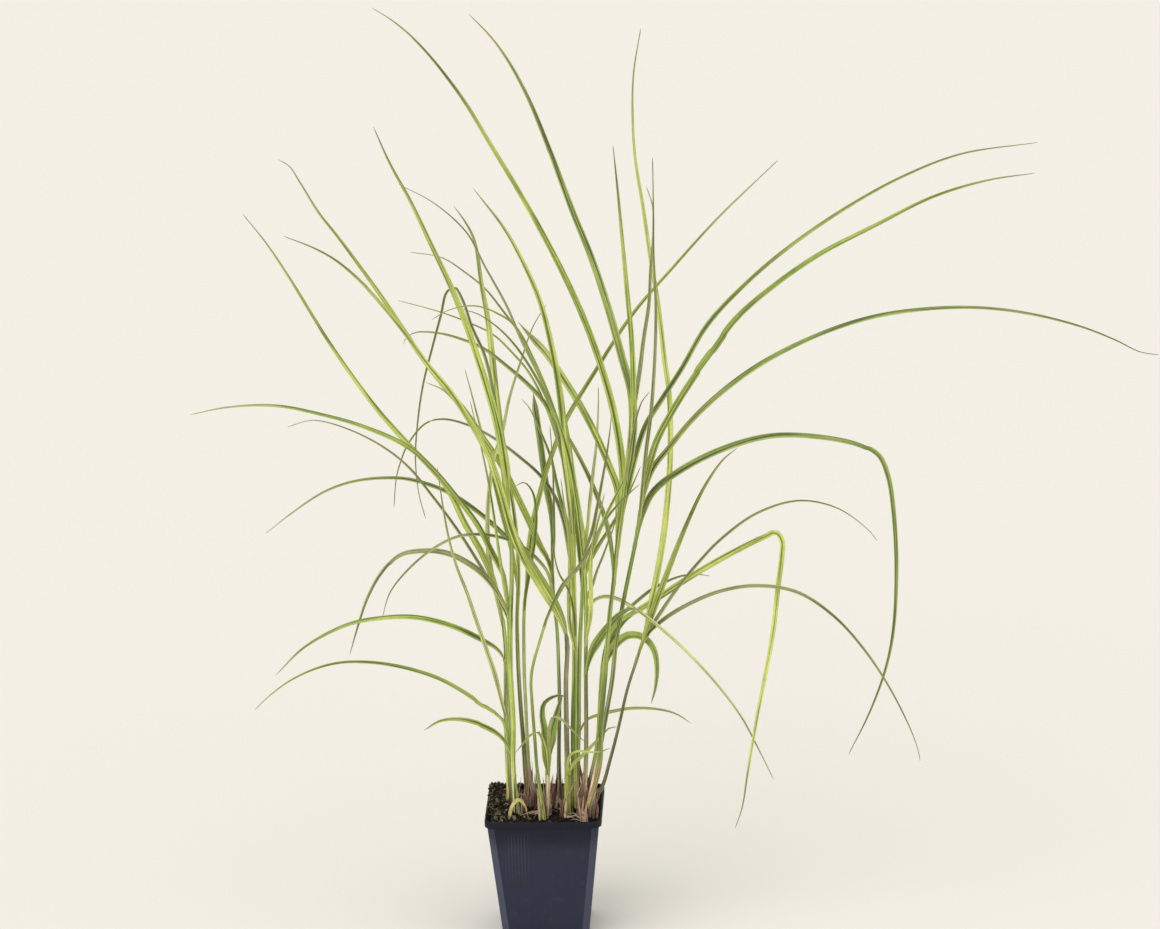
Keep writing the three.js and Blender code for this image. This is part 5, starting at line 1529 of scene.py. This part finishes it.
def build_lights(settings):
    """Soft lights from three sides, and a soft sky."""
    for name, where, share in LIGHTS:
        light = bpy.data.lights.new(name, "SUN")
        light.energy, light.angle = settings.key_power * share, settings.softness
        light.color = LIGHT_COLOUR
        lamp = bpy.data.objects.new(name, light)
        bpy.context.scene.collection.objects.link(lamp)
        lamp.location = where
        lamp.rotation_euler = (-Vector(where)).to_track_quat("-Z", "Y").to_euler()
    world = bpy.data.worlds.new("studio")
    world.use_nodes = True
    background = world.node_tree.nodes["Background"]
    background.inputs["Color"].default_value = (*settings.sky_colour, 1)
    background.inputs["Strength"].default_value = settings.sky_strength
    bpy.context.scene.world = world
    bpy.context.scene.view_settings.view_transform = "Standard"


def build_camera():
    """The camera at the eye's place, turned and rolled as the eye is."""
    lens = bpy.data.cameras.new("photo_camera")
    lens.lens, lens.sensor_width, lens.clip_end = EYE_LENS, SENSOR_WIDTH, SEEN_TO
    camera = bpy.data.objects.new("photo_camera", lens)
    bpy.context.scene.collection.objects.link(camera)
    level = np.array([math.cos(EYE_TURN), -math.sin(EYE_TURN), 0])
    above = np.cross(level, EYE_FORWARD)
    right = level * math.cos(EYE_ROLL) + above * math.sin(EYE_ROLL)
    up = above * math.cos(EYE_ROLL) - level * math.sin(EYE_ROLL)
    pose = Matrix([[right[i], up[i], -EYE_FORWARD[i]] for i in range(3)]).to_4x4()
    pose.translation = Vector(EYE * MM)
    camera.matrix_world = pose
    bpy.context.scene.camera = camera


# Settings, operators and panel.


def colour_setting(name, description, default):
    return bpy.props.FloatVectorProperty(
        name=name, description=description, default=default, subtype="COLOR", min=0, max=1)


def share_setting(name, description, default):
    return bpy.props.FloatProperty(
        name=name, description=description, default=default, min=0, max=1, subtype="FACTOR")


def count_setting(name, description, default):
    return bpy.props.IntProperty(name=name, description=description, default=default, min=0)


def measure_setting(name, description, default, low=0, high=100, subtype="NONE"):
    return bpy.props.FloatProperty(
        name=name, description=description, default=default, min=low, max=high, subtype=subtype)


class PotSettings(bpy.types.PropertyGroup):
    """The pot's colours and finish"""

    colour: colour_setting("Colour", "The plastic's colour", (0.0145, 0.0175, 0.037))
    dust_colour: colour_setting("Dust", "Dry soil dust on the plastic", (0.060, 0.066, 0.095))
    # A painted highlight: the flat corners are painted towards this lighter colour.
    facet_highlight_colour: colour_setting("Facets", "The lighter flat corners", (0.062, 0.068, 0.115))
    roughness: share_setting("Roughness", "How matt the plastic is", 0.52)


class SoilSettings(bpy.types.PropertyGroup):
    """The soil's colours and crumbs"""

    colour: colour_setting("Colour", "The damp soil's colour", (0.016, 0.0105, 0.0075))
    moss_colour: colour_setting("Moss", "The green film at the left edge", (0.085, 0.088, 0.050))
    bark_colour: colour_setting("Bark", "Bits of bark", (0.085, 0.042, 0.026))
    grit_colour: colour_setting("Grit", "Pale grit", (0.30, 0.27, 0.22))
    roughness: share_setting("Roughness", "How matt the soil is", 0.92)
    crumbs: count_setting("Crumbs", "How many crumbs are tried", 2600)
    rim_crumbs: count_setting("On the rim", "Crumbs lying on the rim", 260)


class GrassSettings(bpy.types.PropertyGroup):
    """The colours and finish of stems, blades and dry sheaths"""

    bright_colour: colour_setting("Bright", "The lightest blades", (0.400, 0.470, 0.095))
    fresh_colour: colour_setting("Fresh", "Fresh blades", (0.300, 0.380, 0.062))
    green_colour: colour_setting("Green", "Plain green blades", (0.205, 0.285, 0.042))
    deep_colour: colour_setting("Deep", "Darker blades", (0.135, 0.190, 0.038))
    lush_colour: colour_setting("Lush", "The broad young leaves", (0.082, 0.160, 0.016))
    dusky_colour: colour_setting("Dusky", "Grey-green blades", (0.150, 0.165, 0.085))
    pale_colour: colour_setting("Pale", "Thin pale blades", (0.440, 0.480, 0.200))
    tip_colour: colour_setting("Tip", "Dry tips", (0.240, 0.180, 0.130))
    # Also used for the painted light on one side of each stem.
    foot_and_stem_light_colour: colour_setting("Foot", "Where blades leave the stem", (0.430, 0.460, 0.140))
    sheath_colour: colour_setting("Sheath", "Dry sheaths at the soil", (0.640, 0.455, 0.350))
    straw_colour: colour_setting("Straw", "Straw and torn ends", (0.680, 0.580, 0.390))
    plum_colour: colour_setting("Plum", "The dark purplish stems", (0.105, 0.080, 0.060))
    bark_colour: colour_setting("Old stub", "Weathered stubs", (0.210, 0.095, 0.062))
    edge_colour: colour_setting("Edge", "A blade's light margin", (0.640, 0.700, 0.200))
    rib_colour: colour_setting("Midrib", "A blade's pale midrib", (0.500, 0.580, 0.190))
    streak_colour: colour_setting("Streaks", "Light lines along the blades", (0.600, 0.660, 0.210))
    streak_share: share_setting("Streak share", "How much the light streaks show", 0.68)
    vein_share: share_setting("Vein share", "How much the dark veins show", 0.95)
    edge_share: share_setting("Edge share", "How much the margin shows", 0.85)
    rib_share: share_setting("Midrib share", "How much the midrib shows", 0.35)
    vein_strength: share_setting("Veins", "Depth of the fine veins", 0.5)
    roughness: share_setting("Roughness", "How matt the blades are", 0.48)
    dry_roughness: share_setting("Dry roughness", "How matt dry sheaths are", 0.85)
    blade_thickness: measure_setting("Thickness", "A blade's, in millimetres", 0.75, 0.3, 1.2)


class StageSettings(bpy.types.PropertyGroup):
    """The floor and the lights"""

    floor_colour: colour_setting("Floor", "The floor's colour", (0.87, 0.85, 0.80))
    floor_radius: measure_setting("Floor radius", "The floor's size", 14, 1, 100, "DISTANCE")
    sky_colour: colour_setting("Sky", "The soft light all round", (1.0, 0.985, 0.94))
    sky_strength: measure_setting("Sky strength", "How strong it is", 0.6)
    key_power: measure_setting("Key power", "The main light", 1.5)
    softness: measure_setting("Softness", "How wide each light is", 1.2, 0, 3, "ANGLE")


class BuildPot(bpy.types.Operator):
    """Build the nursery pot with its rim and drain holes"""
    bl_idname = "maiden_grass.build_pot"
    bl_label = "Nursery Pot"

    def execute(self, context):
        build_pot(context.scene.grass_pot)
        return {"FINISHED"}


class BuildSoil(bpy.types.Operator):
    """Build the soil bed and its crumbs"""
    bl_idname = "maiden_grass.build_soil"
    bl_label = "Soil"

    def execute(self, context):
        build_soil_bed(context.scene.grass_soil)
        build_crumbs(context.scene.grass_soil)
        return {"FINISHED"}


class BuildGrass(bpy.types.Operator):
    """Build every leafy stem of the clump"""
    bl_idname = "maiden_grass.build_grass"
    bl_label = "Leafy Stems"

    def execute(self, context):
        build_leafy_stems(context.scene.grass_leaves)
        return {"FINISHED"}


class BuildDryBits(bpy.types.Operator):
    """Build the dry sheaths, old stubs and straw at the foot"""
    bl_idname = "maiden_grass.build_dry_bits"
    bl_label = "Dry Sheaths and Straw"

    def execute(self, context):
        build_dry_bits(context.scene.grass_leaves)
        return {"FINISHED"}


class BuildStage(bpy.types.Operator):
    """Build the floor, lights and camera"""
    bl_idname = "maiden_grass.build_stage"
    bl_label = "Stage"

    def execute(self, context):
        build_floor(context.scene.grass_stage)
        build_lights(context.scene.grass_stage)
        build_camera()
        return {"FINISHED"}


OPERATORS = (BuildPot, BuildSoil, BuildGrass, BuildDryBits, BuildStage)


class GrassPanel(bpy.types.Panel):
    """The pieces of the potted grass"""
    bl_idname = "VIEW3D_PT_maiden_grass"
    bl_label = "Maiden Grass"
    bl_space_type = "VIEW_3D"
    bl_region_type = "UI"
    bl_category = "Maiden Grass"

    def draw(self, context):
        for operator in OPERATORS:
            self.layout.operator(operator.bl_idname)
        for name in SETTINGS:
            group = getattr(context.scene, name)
            box = self.layout.box()
            for setting in type(group).__annotations__:
                box.prop(group, setting)


SETTINGS = {
    "grass_pot": PotSettings,
    "grass_soil": SoilSettings,
    "grass_leaves": GrassSettings,
    "grass_stage": StageSettings,
}


def register():
    """Registers every class, and one group of settings on the scene for each kind."""
    for kind in (*SETTINGS.values(), *OPERATORS, GrassPanel):
        bpy.utils.register_class(kind)
    for name, kind in SETTINGS.items():
        setattr(bpy.types.Scene, name, bpy.props.PointerProperty(type=kind))


def unregister():
    for name in SETTINGS:
        delattr(bpy.types.Scene, name)
    for kind in reversed((*SETTINGS.values(), *OPERATORS, GrassPanel)):
        bpy.utils.unregister_class(kind)


def main():
    """Builds the pieces and the stage in order."""
    register()
    bpy.ops.maiden_grass.build_pot()
    bpy.ops.maiden_grass.build_soil()
    bpy.ops.maiden_grass.build_grass()
    bpy.ops.maiden_grass.build_dry_bits()
    bpy.ops.maiden_grass.build_stage()


if __name__ == "__main__":
    main()
